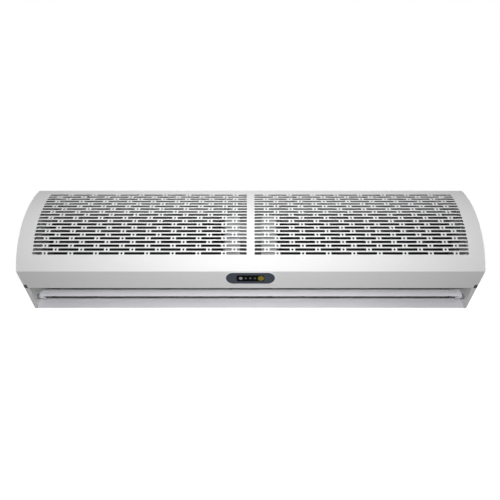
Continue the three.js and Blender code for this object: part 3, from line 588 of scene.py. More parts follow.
def tone_drift(name):
    """Slow drift of a colour over the surface, with fine specks, and dust on what faces up."""
    tree, given, result = new_group(
        name,
        [
            ("Size", "NodeSocketFloat", 7.0),
            ("Speck Size", "NodeSocketFloat", 260.0),
            ("Specks", "NodeSocketFloat", 0.2),
            ("Dust", "NodeSocketFloat", 0.3),
        ],
        [("Tone", "NodeSocketFloat"), ("Dust", "NodeSocketFloat")],
    )
    place = put(tree, "ShaderNodeTexCoord").outputs["Object"]
    wide = {"Vector": place, "Scale": given.outputs["Size"], "Detail": 3.0}
    slow = put(tree, "ShaderNodeTexNoise", wide).outputs["Fac"]
    close = {"Vector": place, "Scale": given.outputs["Speck Size"]}
    fine = put(tree, "ShaderNodeTexNoise", close).outputs["Fac"]
    speck = calc(tree, "MULTIPLY", fine, given.outputs["Specks"])
    tone = calc(tree, "ADD", slow, speck, use_clamp=True)
    facing = put(tree, "ShaderNodeNewGeometry").outputs["Normal"]
    up = put(tree, "ShaderNodeSeparateXYZ", {"Vector": facing}).outputs["Z"]
    lying = put(
        tree,
        "ShaderNodeMapRange",
        {"Value": up, "From Min": 0.55, "From Max": 1.0, "To Min": 0.0, "To Max": 1.0},
    )
    dusty = calc(tree, "MULTIPLY", lying.outputs[0], slow)
    amount = calc(tree, "MULTIPLY", dusty, given.outputs["Dust"])
    tree.links.new(tone, result.inputs["Tone"])
    tree.links.new(amount, result.inputs["Dust"])
    return tree


def zinc_spangle(name):
    """The leaf-like crystals of hot-dipped zinc."""
    tree, given, result = new_group(
        name,
        [("Size", "NodeSocketFloat", 110.0)],
        [("Tone", "NodeSocketFloat"), ("Height", "NodeSocketFloat")],
    )
    place = put(tree, "ShaderNodeTexCoord").outputs["Object"]
    warp = put(tree, "ShaderNodeTexNoise", {"Vector": place, "Scale": 40.0, "Detail": 2.0})
    bent = put(
        tree,
        "ShaderNodeMix",
        {0: 0.04, MIX_VECTORS[0]: place, MIX_VECTORS[1]: warp.outputs["Color"]},
        data_type="VECTOR",
    )
    sockets = {"Scale": given.outputs["Size"], "Vector": bent.outputs[1]}
    cells = put(tree, "ShaderNodeTexVoronoi", sockets)
    shade = put(tree, "ShaderNodeSeparateColor", {"Color": cells.outputs["Color"]})
    tree.links.new(shade.outputs["Red"], result.inputs["Tone"])
    tree.links.new(cells.outputs["Distance"], result.inputs["Height"])
    return tree


def blend_colour(tree, mask, first, second):
    """Mixes two colours by a mask; either may be a socket."""
    mix = put(tree, "ShaderNodeMix", data_type="RGBA")
    tree.links.new(mask, mix.inputs["Factor"])
    for socket, value in zip(MIX_COLOURS, (first, second)):
        if isinstance(value, bpy.types.NodeSocket):
            tree.links.new(value, mix.inputs[socket])
        else:
            mix.inputs[socket].default_value = (*value, 1)
    return mix.outputs[2]


def scaled(rgb, share):
    return tuple(min(1, channel * share) for channel in rgb)


def new_material(name, **values):
    """A material with its Principled BSDF's plain values set. Gives the material, tree and shader."""
    material = bpy.data.materials.new(name)
    material.use_nodes = True
    tree = material.node_tree
    tree.nodes.clear()
    shader = put(tree, "ShaderNodeBsdfPrincipled")
    for socket, value in values.items():
        shader.inputs[socket.replace("_", " ")].default_value = value
    put(tree, "ShaderNodeOutputMaterial", {"Surface": shader.outputs[0]})
    return material, tree, shader


def roughen(tree, shader, value, smooth, rough):
    """Lets the roughness follow a value between two levels."""
    span = put(tree, "ShaderNodeMapRange", {"Value": value, "To Min": smooth, "To Max": rough})
    tree.links.new(span.outputs[0], shader.inputs["Roughness"])


def emboss(tree, shader, height, depth, strength=1.0):
    bump = put(tree, "ShaderNodeBump", {"Height": height, "Distance": depth, "Strength": strength})
    tree.links.new(bump.outputs[0], shader.inputs["Normal"])


DUST = (0.56, 0.54, 0.50)


def coated(name, rgb, grain, depth, smooth, rough, dust=0.25, **values):
    """Paint or moulded plastic: a drifting colour with specks and dust, over a fine grain."""
    material, tree, shader = new_material(name, **values)
    drift = put(tree, "ShaderNodeGroup", node_tree=shared("Tone Drift", tone_drift))
    drift.inputs["Dust"].default_value = dust
    base = blend_colour(tree, drift.outputs["Tone"], scaled(rgb, 0.955), scaled(rgb, 1.03))
    dusted = blend_colour(tree, drift.outputs["Dust"], base, scaled(DUST, max(rgb) + 0.2))
    tree.links.new(dusted, shader.inputs["Base Color"])
    roughen(tree, shader, drift.outputs["Tone"], smooth, rough)
    peel = put(tree, "ShaderNodeGroup", node_tree=shared("Surface Grain", surface_grain))
    peel.inputs["Size"].default_value = grain
    emboss(tree, shader, peel.outputs["Height"], depth)
    return material


def galvanised(name, rgb):
    material, tree, shader = new_material(name, Metallic=0.6)
    zinc = put(tree, "ShaderNodeGroup", node_tree=shared("Zinc Spangle", zinc_spangle))
    shade = blend_colour(tree, zinc.outputs["Tone"], scaled(rgb, 0.86), scaled(rgb, 1.16))
    tree.links.new(shade, shader.inputs["Base Color"])
    roughen(tree, shader, zinc.outputs["Tone"], 0.50, 0.68)
    emboss(tree, shader, zinc.outputs["Height"], 0.05 * MM)
    return material


def turned_steel(name, rgb, fine, smooth, rough):
    """Drawn or turned steel: fine lines round the piece, and a slow drift of tone."""
    material, tree, shader = new_material(name, Metallic=1.0)
    place = put(tree, "ShaderNodeTexCoord").outputs["Object"]
    stretch = put(tree, "ShaderNodeMapping", {"Vector": place, "Scale": (fine, 60, 60)})
    lines = put(tree, "ShaderNodeTexNoise", {"Vector": stretch.outputs[0], "Scale": 1.0, "Detail": 3.0})
    shade = blend_colour(tree, lines.outputs["Fac"], scaled(rgb, 0.85), scaled(rgb, 1.15))
    tree.links.new(shade, shader.inputs["Base Color"])
    roughen(tree, shader, lines.outputs["Fac"], smooth, rough)
    emboss(tree, shader, lines.outputs["Fac"], 0.03 * MM)
    return material


def finish(name):
    """The named finish, made the first time that a piece asks for it."""
    label = name + "_finish"
    if label in bpy.data.materials:
        return bpy.data.materials[label]
    own = settings("finishes")
    makers = {
        "white_paint": lambda n: coated(
            n, own.paint, 520, 0.05 * MM, 0.46, 0.56, Specular_IOR_Level=0.35
        ),
        "white_plastic": lambda n: coated(n, own.cap_plastic, 1500, 0.03 * MM, 0.42, 0.52),
        # painted light: this finish is brighter than the paint, and is used on the vane and on the
        # painted outlet ramp
        "vane_plastic": lambda n: coated(n, own.vane_plastic, 1300, 0.03 * MM, 0.36, 0.46),
        "galvanised_sheet": lambda n: galvanised(n, own.zinc),
        "motor_steel": lambda n: turned_steel(n, own.steel, 900, 0.45, 0.6),
        "shaft_steel": lambda n: turned_steel(n, scaled(own.steel, 3.4), 2600, 0.25, 0.4),
        "impeller_plastic": lambda n: coated(
            n, own.fan_plastic, 900, 0.05 * MM, 0.5, 0.65, 0.05, Specular_IOR_Level=0.25
        ),
        "dark_plastic": lambda n: coated(n, (0.03, 0.032, 0.036), 1400, 0.04 * MM, 0.45, 0.58, 0.1),
        "slate_plastic": lambda n: coated(
            n, own.slate, 1700, 0.03 * MM, 0.45, 0.55, 0.0, Specular_IOR_Level=0.3
        ),
        "black_gloss": lambda n: coated(
            n, (0.0018, 0.0023, 0.0029), 300, 0.004 * MM, 0.10, 0.16, 0.0, Specular_IOR_Level=0.025
        ),
        "pale_plastic": lambda n: coated(n, (0.26, 0.265, 0.27), 1500, 0.02 * MM, 0.3, 0.4, 0.0),
        "smoky_plastic": lambda n: coated(n, (0.055, 0.06, 0.064), 900, 0.02 * MM, 0.25, 0.34, 0.0),
        "gold_button": lambda n: coated(
            n, own.gold, 1800, 0.02 * MM, 0.34, 0.44, 0.0, Specular_IOR_Level=0.3
        ),
        "board_green": lambda n: coated(n, (0.012, 0.085, 0.03), 700, 0.04 * MM, 0.3, 0.5),
        "black_rubber": lambda n: coated(n, (0.012, 0.012, 0.013), 1200, 0.06 * MM, 0.7, 0.85, 0.15),
    }
    return makers[name](label)


# ---------------------------------------------------------------- front cover
ARC_STEPS = 25
COVER_SCREWS = [f"cover_screw_{number}" for number in range(1, 5)]
WALL_FOOT = 18 * MM  # width of a side wall at the panel's bottom edge
SEAM_STEP = 40 * MM  # how far the side wall's rear line comes forward at the foot of the curve


def cover_shell():
    """The bent sheet with its side walls: lower panel, crease, curve and top flat."""
    cover = settings("cover")
    panel_y, panel_z = panel_end()
    crease = section(0, cover.crease)
    foot = section(0, cover.crease + cover.strip)
    corners = [(-HALF, *point) for point in ((panel_y, panel_z), crease, foot)]
    piece = add_line("front_cover_shell", corners)
    with editing(piece):
        centre = curve_centre()
        centre.x = -HALF
        bpy.ops.mesh.spin(steps=ARC_STEPS, angle=top_angle(), center=centre, axis=(1, 0, 0))
        curve_top = centre.y - cover.radius * cos(top_angle())
        draw_on((0, SEAM - curve_top, 0))
        everything()
        pull((2 * HALF, 0, 0))
    fold_lip(piece)
    for _, side in SIDES:
        close_side(piece, side * HALF)
    with editing(piece):
        merge_close()
        face_outwards()
    round_cover(piece)
    return thicken(piece, cover.sheet, (0, FRONT, cover.crease + cover.strip / 2), (0, 1, 0))


def fold_lip(piece):
    """Folds the panel's bottom edge inwards, between the two end caps."""
    cover = settings("cover")
    panel_z = panel_end()[1]
    reach = RAMP_HIGH.x
    with editing(piece):
        for side in (-1, 1):
            pick(piece, "faces", lambda face: middle_of(face).z < cover.crease)
            bpy.ops.mesh.bisect(plane_co=(side * reach, 0, 0), plane_no=(1, 0, 0))
        pick(
            piece,
            "edges",
            lambda edge: abs(middle_of(edge).x) < reach - MM and lies_at(edge, 2, panel_z, NEARLY),
        )
        pull(inward() * cover.lip)
        if pick(
            piece,
            "edges",
            lambda edge: len(edge.link_faces) == 2 and lies_at(edge, 2, panel_z, NEARLY),
        ):
            bevel(cover.fold_round / 2, 2)


def close_side(piece, x):
    """Draws the rear line of a side wall and fills the wall."""
    cover = settings("cover")
    panel_y, panel_z = panel_end()
    wall_low = inward() * WALL_FOOT
    rear = [
        (SEAM, TOP),
        (SEAM, AXIS.z),
        (SEAM - SEAM_STEP, cover.crease + cover.strip),
        (panel_y + wall_low.y, panel_z + wall_low.z),
        (panel_y, panel_z),
    ]
    with editing(piece):
        pick(piece, "verts", lambda v: (v.co - Vector((x, SEAM, TOP))).length < NEARLY)
        for here, there in zip(rear, rear[1:]):
            draw_on((0, there[0] - here[0], there[1] - here[1]))
        merge_close()
        pick(piece, "edges", lambda edge: lies_at(edge, 0, x))
        bpy.ops.mesh.edge_face_add()


def round_cover(piece):
    """Rounds the crease, the facets of the curve and the turns into the side walls."""
    cover = settings("cover")
    with editing(piece):
        pick(
            piece,
            "edges",
            lambda edge: lies_at(edge, 2, cover.crease, NEARLY) and spans(edge, 0) > MM,
        )
        bevel(cover.fold_round, 3)
        pick(piece, "edges", lambda edge: len(edge.link_faces) == 2 and ends_in_walls(edge))
        bevel(cover.end_round, 3)


def slot_cutter(near, far):
    """One slot's cutter at the foot of the curve, with rounded corners."""
    cover = settings("cover")
    y, z = section(0, cover.crease + cover.strip)
    reach, half = 5 * MM, cover.slot_width / 2
    piece = add_block("slot_cutter", (near, y - reach, z - half), (far, y + reach, z + half))
    with editing(piece):
        pick(piece, "edges", lambda edge: spans(edge, 1) > MM)
        bevel(cover.slot_corner, 3)
    return piece


def dot_cutter(x):
    cover = settings("cover")
    y, z = section(0, cover.crease + cover.strip)
    return add_drum("dot_cutter", (x, y, z), cover.dot / 2, 10 * MM, axis="Y", sides=12)


def repeated(piece, count, step):
    """A row of copies along X, so many in all."""
    return use(
        piece,
        "ARRAY",
        count=count,
        use_relative_offset=False,
        use_constant_offset=True,
        constant_offset_displace=(step, 0, 0),
    )


def copy_round(copies, turn, centre):
    """Copies the whole mesh round an axis along X, the last copy turned so far."""
    everything()
    bpy.ops.mesh.spin(steps=copies, angle=turn, center=centre, axis=(1, 0, 0), dupli=True)


def row_cutter(starts_whole):
    """The cutters of one row, on both sides of the centre bar, at the foot of the curve."""
    cover = settings("cover")
    near = cover.centre_bar / 2
    period = cover.slot + cover.dot_space
    first = near if starts_whole else near + cover.half_slot + cover.dot_space
    half_from = near + cover.whole_slots * period if starts_whole else near
    slots = repeated(slot_cutter(first, first + cover.slot), cover.whole_slots, period)
    first_dot = (first + cover.slot if starts_whole else near + cover.half_slot) + cover.dot_space / 2
    dots = repeated(dot_cutter(first_dot), cover.whole_slots, period)
    right = join(slots, slot_cutter(half_from, half_from + cover.half_slot), dots)
    return join(right, copied(right, "row_cutter", MIRROR))


def slots_cutter():
    """All rows: one plain row turned up to its place, then copied round the curve."""
    cover = settings("cover")
    centre = curve_centre()
    step = cover.pitch / cover.radius
    rows = []
    for first in (0, 1):
        row = row_cutter(first == 0)
        row.matrix_world = around(centre, cover.first_row / cover.radius + first * step)
        settle(row)
        copies = cover.rows // 2 - 1
        with editing(row):
            copy_round(copies, 2 * step * copies, centre)
        rows.append(row)
    return join(*rows)


def stadium(name, long, wide, z0, z1, sides=32):
    """A flat-sided pill lying in the panel's plane: a drum pulled apart along X."""
    display = settings("display")
    middle = display.across
    piece = add_drum(name, (middle, display.down, (z0 + z1) / 2), wide / 2, z1 - z0, "Z", sides)
    apart = (long - wide) / 2
    with editing(piece):
        for side in (-1, 1):
            pick(piece, "verts", lambda v: (v.co.x - middle) * side > 0)
            move((side * apart, 0, 0))
    return piece


def build_front_cover():
    display = settings("display")
    shell = cover_shell()
    overlap = 2 * 2.7 * MM  # the rim covers the edge of its hole
    long, wide = display.pill_length - overlap, display.pill_width - overlap
    hole = onto_panel(stadium("hole", long, wide, -3 * MM, 6 * MM))
    seats = []
    for node in COVER_SCREWS:
        low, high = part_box(node)
        place = (low + high) / 2
        place.z = TOP
        seats.append(add_drum("seat", place, 2.3 * MM, 8 * MM, "Z", 16))
        seats.append(add_drum("sink", place, 4.4 * MM, 2.4 * MM, "Z", 24))
    for _, side in SIDES:
        cut(shell, corner_gap(side))
    cut(shell, slots_cutter())
    cut(shell, hole)
    for seat in seats:
        cut(shell, seat)
    complete(shell, "white_paint", "casing", ["front_cover"], sharp=25)


# ---------------------------------------------------------------- end caps
CAP_INSIDE = 444 * MM  # a cap's inner face, from the middle of the unit
CAP_STEPS = 12


def build_end_caps():
    """Each cap: outer shell behind the side wall, inner wall, and the flange beside the mouth."""
    cover, outlet = settings("cover"), settings("outlet")
    into = inward()
    mouth = Vector((0, *panel_end())) + down_slant() * FIT
    wall_low = mouth + into * WALL_FOOT
    back, bottom_front = CASING_HIGH.y, FRONT + outlet.bottom_front
    rear = [(SEAM + FIT, TOP), (back, TOP), (back, 0), (bottom_front, 0)]
    shell_line = [
        (mouth.y, mouth.z),
        (wall_low.y, wall_low.z),
        (SEAM - SEAM_STEP + FIT, cover.crease + cover.strip),
        (SEAM + FIT, AXIS.z),
        *rear,
    ]
    inside = cover.sheet + FIT
    inner = [(mouth.y + into.y * inside, mouth.z + into.z * inside)]
    inner.append((FRONT + inside * 1.3, cover.crease + 1 * MM))
    centre, radius = curve_centre(), cover.radius - inside
    for i in range(CAP_STEPS + 1):
        turn = top_angle() * i / CAP_STEPS
        inner.append((centre.y - radius * cos(turn), centre.z + radius * sin(turn)))
    inner_line = [(mouth.y, mouth.z), *inner, (SEAM + FIT, TOP - inside), *rear]
    for name, side in SIDES:
        cap = add_plate(name + "_cap_shell", shell_line, side * (CAP_INSIDE + 1 * MM), side * HALF)
        with editing(cap):
            pick(
                cap,
                "edges",
                lambda edge: ends_in_walls(edge) and not on_seam(middle_of(edge), shell_line),
            )
            bevel(outlet.cap_round, 4)
        core_ends = (side * CAP_INSIDE, side * (CAP_INSIDE + 3.2 * MM))
        core = add_plate(name + "_cap_core", inner_line, *core_ends)
        weld(cap, core, mouth_flange(name, side))
        cut(cap, corner_gap(side))
        complete(cap, "white_plastic", "casing", [name + "_end_cap"], sharp=28)
        # A dark block sits in the corner gap as painted shade, where the real gap is dark from shadow.
        low = (HALF - 7.8 * MM, cover.panel - 9.3 * MM, 0.3 * MM)
        high = (HALF - 0.3 * MM, cover.panel + 0.4 * MM, 9 * MM)
        shade_block = corner_block(name + "_cover_catch", side, low, high)
        round_edges(shade_block, 0.8 * MM, 3)
        complete(shade_block, "dark_plastic", "casing", [])


def corner_gap(side):
    """The cutter of the gap at the cover's lower corner, in which a dark block sits as painted shade.
    """
    panel = settings("cover").panel
    low = (HALF - 8 * MM, panel - 9.5 * MM, -2 * MM)
    high = (HALF + 1 * MM, panel + 0.6 * MM, 12 * MM)
    return corner_block("corner_gap", side, low, high)


def corner_block(name, side, low, high):
    """A block laid on the lower panel, drawn for the right end and mirrored for the left one."""
    block = add_block(name, low, high)
    if side < 0:
        mirrored(block)
    return onto_panel(block)


def on_seam(point, shell_line):
    """Whether a point lies on the part of the outline that meets the cover's side wall."""
    for (y0, z0), (y1, z1) in zip(shell_line[:4], shell_line[1:5]):
        along = hypot(y1 - y0, z1 - z0)
        off = abs((point.y - y0) * (z1 - z0) - (point.z - z0) * (y1 - y0)) / along
        if off < NEARLY and min(y0, y1) - MM < point.y < max(y0, y1) + MM:
            return True
    return False


def mouth_flange(name, side):
    """The flange in the plane of the lower panel, narrower towards the bottom."""
    cover, outlet = settings("cover"), settings("outlet")
    slant = hypot(outlet.bottom_front, cover.crease)
    piece = add_block(
        name + "_mouth_flange",
        (HALF - outlet.flange_top, cover.panel + 0.3 * MM, 0),
        (HALF - 1 * MM, slant - 3.5 * MM, 2.5 * MM),
    )
    with editing(piece):
        pick(piece, "verts", lambda v: v.co.x < HALF - 5 * MM and v.co.y > cover.panel + 5 * MM)
        move((outlet.flange_top - outlet.flange_foot, 0, 0))
    round_edges(piece, 0.6 * MM, 2)
    if side < 0:
        mirrored(piece)
    return onto_panel(piece)


# ---------------------------------------------------------------- casing and wall plate
def build_back_casing():
    """The folded rear sheet, painted outside and bare zinc inside; the darker zinc inside is partly
    painted shade for the casing's interior.
    """
    piece = refined("back_casing", "back_casing_sheet", 0.5 * MM)
    complete(piece, "white_paint", "casing", ["back_casing"])
    piece.data.materials.append(finish("galvanised_sheet"))
    skin, top = 0.6 * MM, TOP - 2.4 * MM  # the top lies lower, where the cover's edge rests on it
    for face in piece.data.polygons:
        place = face.center
        outside = place.y > CASING_HIGH.y - skin or place.z < skin or place.z > top
        # inner faces: zinc, partly the sheet's own finish and partly painted shade in the interior
        face.material_index = 0 if outside else 1


def build_wall_plate():
    """The plate on the wall, stiffened by two long pressed beads."""
    piece = refined("wall_plate", "wall_hanging_plate", 0.35 * MM)
    back = PLATE_HIGH.y
    long, half = 260 * MM, 5 * MM
    for height in (PLATE_LOW.z + 52 * MM, PLATE_HIGH.z - 64 * MM):
        for near in (-310 * MM, 50 * MM):
            low = (near, back - 0.5 * MM, height - half)
            high = (near + long, back + 3 * MM, height + half)
            bead = add_block("bead", low, high)
            with editing(bead):
                pick(bead, "edges", lambda edge: spans(edge, 1) > MM)
                bevel(half - NEARLY, 6)
            cut(piece, bead)
    complete(piece, "galvanised_sheet", "casing", ["wall_plate"])


# ---------------------------------------------------------------- duct
SCROLL_FLANGE = 45 * MM  # the top flange ends this far behind the fan's axis
SCROLL_FOOT = 10 * MM  # width of the flange on the floor of the casing
SCROLL_START = 57 * MM  # radius at which the spiral starts, at its top
SCROLL_GROWTH = 0.227  # how fast its radius grows with the turn
SCROLL_TURNS = (radians(48), radians(-50))
SCROLL_STEPS = 28
DUCT_SHEET = 1.5 * MM
LIP_FLANGE = 18 * MM  # width of the ramp plate's flange along the bottom


def scroll_path():
    """The duct wall behind the fan: top flange, spiral, tail down to the floor of the casing."""
    low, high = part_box("scroll_guide_right")
    turn_from, turn_to = SCROLL_TURNS
    path = [(high.y, high.z), (AXIS.y + SCROLL_FLANGE, high.z)]
    for i in range(SCROLL_STEPS + 1):
        turn = turn_from + (turn_to - turn_from) * i / SCROLL_STEPS
        radius = SCROLL_START * exp(SCROLL_GROWTH * (turn_from - turn))
        path.append((AXIS.y + radius * cos(turn), AXIS.z + radius * sin(turn)))
    tail = by_mouth(54 * MM, 21.5 * MM)
    path += [(tail.y, tail.z), (tail.y, low.z), (tail.y + SCROLL_FOOT, low.z)]
    return path


def build_duct():
    for name, _ in SIDES:
        low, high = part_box("scroll_guide_" + name)
        guide = add_sheet("scroll_wall_" + name, scroll_path(), low.x, high.x)
        thicken(guide, DUCT_SHEET, (0, AXIS.y + 60 * MM, AXIS.z), (0, 1, 0))
        round_edges(guide, 0.3 * MM, 1, 40)
        complete(guide, "galvanised_sheet", "casing", ["scroll_guide_" + name], sharp=25)
    tongue = refined("air_tongue", "air_tongue_sheet", 0.35 * MM)
    complete(tongue, "galvanised_sheet", "casing", ["air_tongue"])


def build_outlet_lip():
    """The ramp plate: a flange along the bottom, the slanted front and the run back to the duct."""
    outlet = settings("outlet")
    half = RAMP_HIGH.x
    foot = FRONT + outlet.bottom_front
    slant = Vector((0, cos(outlet.ramp_slope), sin(outlet.ramp_slope))) * outlet.ramp_width
    run = slant + Vector((0, cos(outlet.ramp_bend), sin(outlet.ramp_bend))) * outlet.ramp_run
    path = [
        (foot, outlet.lip_sheet),
        (foot + slant.y, slant.z),
        (foot + run.y, run.z),
        (RAMP_HIGH.y, RAMP_HIGH.z),
    ]
    ramp = add_sheet("outlet_ramp", path, -half, half)
    thicken(ramp, outlet.lip_sheet, (0, foot + slant.y / 2, slant.z / 2), (0, 1, -1))
    flange_end = (half, foot + LIP_FLANGE, outlet.lip_sheet)
    flange = add_block("flange", (-half, foot, 0), flange_end)
    weld(ramp, flange)
    round_edges(ramp, 0.35 * MM, 2, 40)
    # The ramp is painted sheet like the cover; its brighter vane finish is painted light on it.
    complete(ramp, "vane_plastic", "casing", ["outlet_lip"], slot="white_paint", sharp=28)


# ---------------------------------------------------------------- vane
VANE_HALF = 431 * MM  # from the middle of the unit to the blade's end
VANE_STEPS = 8


def build_vane():
    """The vane: a steep front edge and an arched blade, with a lug and a pin at each end."""
    outlet = settings("outlet")
    front, knee = by_mouth(-18.5 * MM, 26.9 * MM), by_mouth(-16.2 * MM, 31.2 * MM)
    rear, pivot = by_mouth(-5.5 * MM, 39.5 * MM), by_mouth(1 * MM, 24 * MM)
    chord = rear - front
    up = Vector((0, -chord.z, chord.y)).normalized()
    path = [(front.y, front.z), ((front.y + knee.y) / 2, (front.z + knee.z) / 2)]
    for i in range(VANE_STEPS + 1):
        share = i / VANE_STEPS
        point = knee.lerp(rear, share) + up * (outlet.vane_camber * 4 * share * (1 - share))
        path.append((point.y, point.z))
    blade = add_sheet("outlet_vane", path, -VANE_HALF, VANE_HALF)
    thicken(blade, outlet.vane_thick, (front + rear) / 2, -up)
    with editing(blade):
        pick(blade, "edges", lambda edge: edge.calc_face_angle(0) > radians(60))
        bevel(outlet.vane_thick * 0.42, 3)
    for name, side in SIDES:
        lug_half = 5 * MM
        foot = pivot.z - lug_half
        line = [
            (pivot.y - lug_half, foot),
            (pivot.y + lug_half, foot),
            (pivot.y + lug_half, rear.z - 5 * MM),
            (rear.y, rear.z - 1.6 * MM),
            (pivot.y - lug_half - 4 * MM, rear.z - 5 * MM),
        ]
        lug = add_plate("vane_lug_" + name, line, side * (VANE_HALF - 2 * MM), side * VANE_HALF)
        round_edges(lug, 0.4 * MM, 2)
        pin_middle = (side * (VANE_HALF + 6 * MM), pivot.y, pivot.z)
        pin = add_drum("vane_pin_" + name, pin_middle, 3 * MM, 14 * MM, "X", 24)
        round_edges(pin, 0.4 * MM, 2)
        weld(blade, lug, pin)
    # The vane's finish is its own plastic, brightened with painted light.
    complete(blade, "vane_plastic", "vane", ["vane"], sharp=28)
    for name, _ in SIDES:
        low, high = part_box("vane_bush_" + name)
        middle = (low + high) / 2
        bush = add_drum("vane_bearing_" + name, middle, 5.4 * MM, high.x - low.x, "X", 32)
        round_edges(bush, 0.5 * MM, 2)
        bore = add_drum("bore", middle, 3.5 * MM, 20 * MM, "X", 24)
        cut(bush, bore)
        # The bush's mid grey is partly its own plastic and partly painted shade at the vane's end.
        complete(bush, "pale_plastic", "casing", ["vane_bush_" + name], slot="dark_plastic")


# ---------------------------------------------------------------- fan
BLADE_STEPS = 4


def blade_stack(name, x0, x1):
    """Curved blades all round: one blade, copied round the axis."""
    fan = settings("fan")
    line = []
    for i in range(BLADE_STEPS + 1):
        share = i / BLADE_STEPS
        radius = fan.blade_inner + (fan.blade_outer - fan.blade_inner) * share
        turn = fan.blade_lean * share**1.6
        line.append((AXIS.y + radius * cos(turn), AXIS.z + radius * sin(turn)))
    piece = add_sheet(name, line, x0, x1)
    use(piece, "SOLIDIFY", thickness=fan.blade_thick, offset=0)
    copies = fan.blades - 1
    with editing(piece):
        copy_round(copies, 2 * pi * copies / fan.blades, (x0, AXIS.y, AXIS.z))
    return piece


def ring_disc(x, thickness, outer, inner, sides=64):
    """A flat ring on the fan's axis, with its rim rounded."""
    disc = add_drum("ring", (x, AXIS.y, AXIS.z), outer, thickness, "X", sides)
    round_edges(disc, thickness * 0.3, 2)
    hole = add_drum("hole", (x, AXIS.y, AXIS.z), inner, 4 * thickness, "X", sides)
    return cut(disc, hole)


# radii of the openings in the inner disc, the outer disc and the carrier rings
HUB_OPENING, SHAFT_OPENING, RING_OPENING = 15.3 * MM, 5.3 * MM, 37 * MM


def inner_outer(node, side):
    """Where a node on one side of the unit starts and ends, counted from the middle."""
    low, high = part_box(node)
    return (low.x, high.x) if side > 0 else (high.x, low.x)


def build_impellers():
    fan = settings("fan")
    radius = (FAN_HIGH.z - FAN_LOW.z) / 2
    for name, side in SIDES:
        thick = fan.ring
        near, far = inner_outer("impeller_" + name, side)
        disc_near, disc_far = near + side * thick / 2, far - side * thick / 2
        wheel = blade_stack("impeller_wheel_" + name, disc_near, disc_far)
        rings = [ring_disc(disc_near, thick, radius, HUB_OPENING)]
        rings.append(ring_disc(disc_far, thick, radius, SHAFT_OPENING))
        for i in range(1, fan.rings + 1):
            x = near + (far - near) * i / (fan.rings + 1)
            rings.append(ring_disc(x, thick, radius, RING_OPENING))
        join(wheel, *rings)
        complete(wheel, "impeller_plastic", "fan_rotor", ["impeller_" + name])


def lathe(name, profile, steps=48):
    """A profile of [x, radius] points spun round the fan's axis and closed."""
    piece = add_line(name, [(x, AXIS.y - r, AXIS.z) for x, r in profile])
    with editing(piece):
        everything()
        bpy.ops.mesh.spin(steps=steps, angle=2 * pi, center=(0, AXIS.y, AXIS.z), axis=(1, 0, 0))
        merge_close()
        face_outwards()
    return piece


def both_faces(x0, x1, half):
    """A closed ring profile: [depth, radius] in mm from its face at x0, and the same from x1."""
    near = [(x0 + depth * MM, radius * MM) for depth, radius in half]
    far = [(x1 - depth * MM, radius * MM) for depth, radius in reversed(half)]
    return near + far + near[:1]


HUB_HALF = [(0, 5.3), (0, 13), (2, 15)]
MOUNT_HALF = [(0, 15.3), (0, 21.2), (0.8, 22)]
BEARING_HALF = [(0, 5.5), (0, 7.5), (0.8, 8), (0.8, 11), (0, 11.5), (0, 12.6), (0.4, 13)]
SHAFT = 5 * MM  # radius of the motor shaft and the end shafts


def build_rotor_metal():
    """Hubs, motor shaft and end shafts."""
    half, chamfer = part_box("motor_shaft")[1].x, 0.5 * MM
    left = [(-half, 0), (-half, SHAFT - chamfer), (chamfer - half, SHAFT)]
    right = [(half - chamfer, SHAFT), (half, SHAFT - chamfer), (half, 0)]
    shaft = lathe("motor_shaft_turned", left + right, 32)
    complete(shaft, "shaft_steel", "fan_rotor", ["motor_shaft"])
    for name, side in SIDES:
        low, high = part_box("impeller_hub_" + name)
        hub = lathe("rubber_hub_" + name, both_faces(low.x, high.x, HUB_HALF))
        complete(hub, "black_rubber", "fan_rotor", ["impeller_hub_" + name])
        near, far = inner_outer("end_shaft_" + name, side)
        flange = near + side * 12.3 * MM
        stub = lathe(
            "end_shaft_turned_" + name,
            [
                (near, 0),
                (near, SHAFT),
                (flange, SHAFT),
                (flange, 16.4 * MM),
                (flange + side * 0.6 * MM, 17 * MM),
                (flange + side * 2.4 * MM, 17 * MM),
                (flange + side * 3 * MM, 16.4 * MM),
                (flange + side * 3 * MM, SHAFT),
                (far - side * 0.6 * MM, SHAFT),
                (far, 4.4 * MM),
                (far, 0),
            ],
        )
        complete(stub, "shaft_steel", "fan_rotor", ["end_shaft_" + name])


# ---------------------------------------------------------------- motor and brackets
def build_motor():
    low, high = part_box("motor_body")
    half, boss = 35 * MM, high.x  # reach of the shell and of its bosses to each side
    outer = (high.z - low.z) / 2
    profile = [(-boss, 5.5 * MM), (-boss, 14.5 * MM), (0.5 * MM - boss, 15 * MM), (-half, 15 * MM)]
    profile += [(-half, outer - 9 * MM), (1.5 * MM - half, outer - 5 * MM)]
    profile += [(6 * MM - half, outer - 1 * MM)]
    profile += [(10 * MM - half, outer - 1 * MM), (10 * MM - half, outer), (-2 * MM, outer)]
    profile += [(-1 * MM, outer - 0.8 * MM)]
    right = [(-x, r) for x, r in reversed(profile)]
    body = lathe("motor_shell", profile + right + profile[:1], 64)
    complete(body, "motor_steel", "casing", ["motor_body"])
    for name, _ in SIDES:
        low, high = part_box("motor_mount_" + name)
        ring = lathe("rubber_mount_" + name, both_faces(low.x, high.x, MOUNT_HALF))
        complete(ring, "black_rubber", "casing", ["motor_mount_" + name])
        for kind in ("motor_bracket_", "bearing_bracket_"):
            plate = refined(kind + name, kind + "plate_" + name, 0.5 * MM)
            complete(plate, "galvanised_sheet", "casing", [kind + name])
        low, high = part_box("bearing_" + name)
        bearing = lathe("ball_bearing_" + name, both_faces(low.x, high.x, BEARING_HALF))
        complete(bearing, "shaft_steel", "casing", ["bearing_" + name])


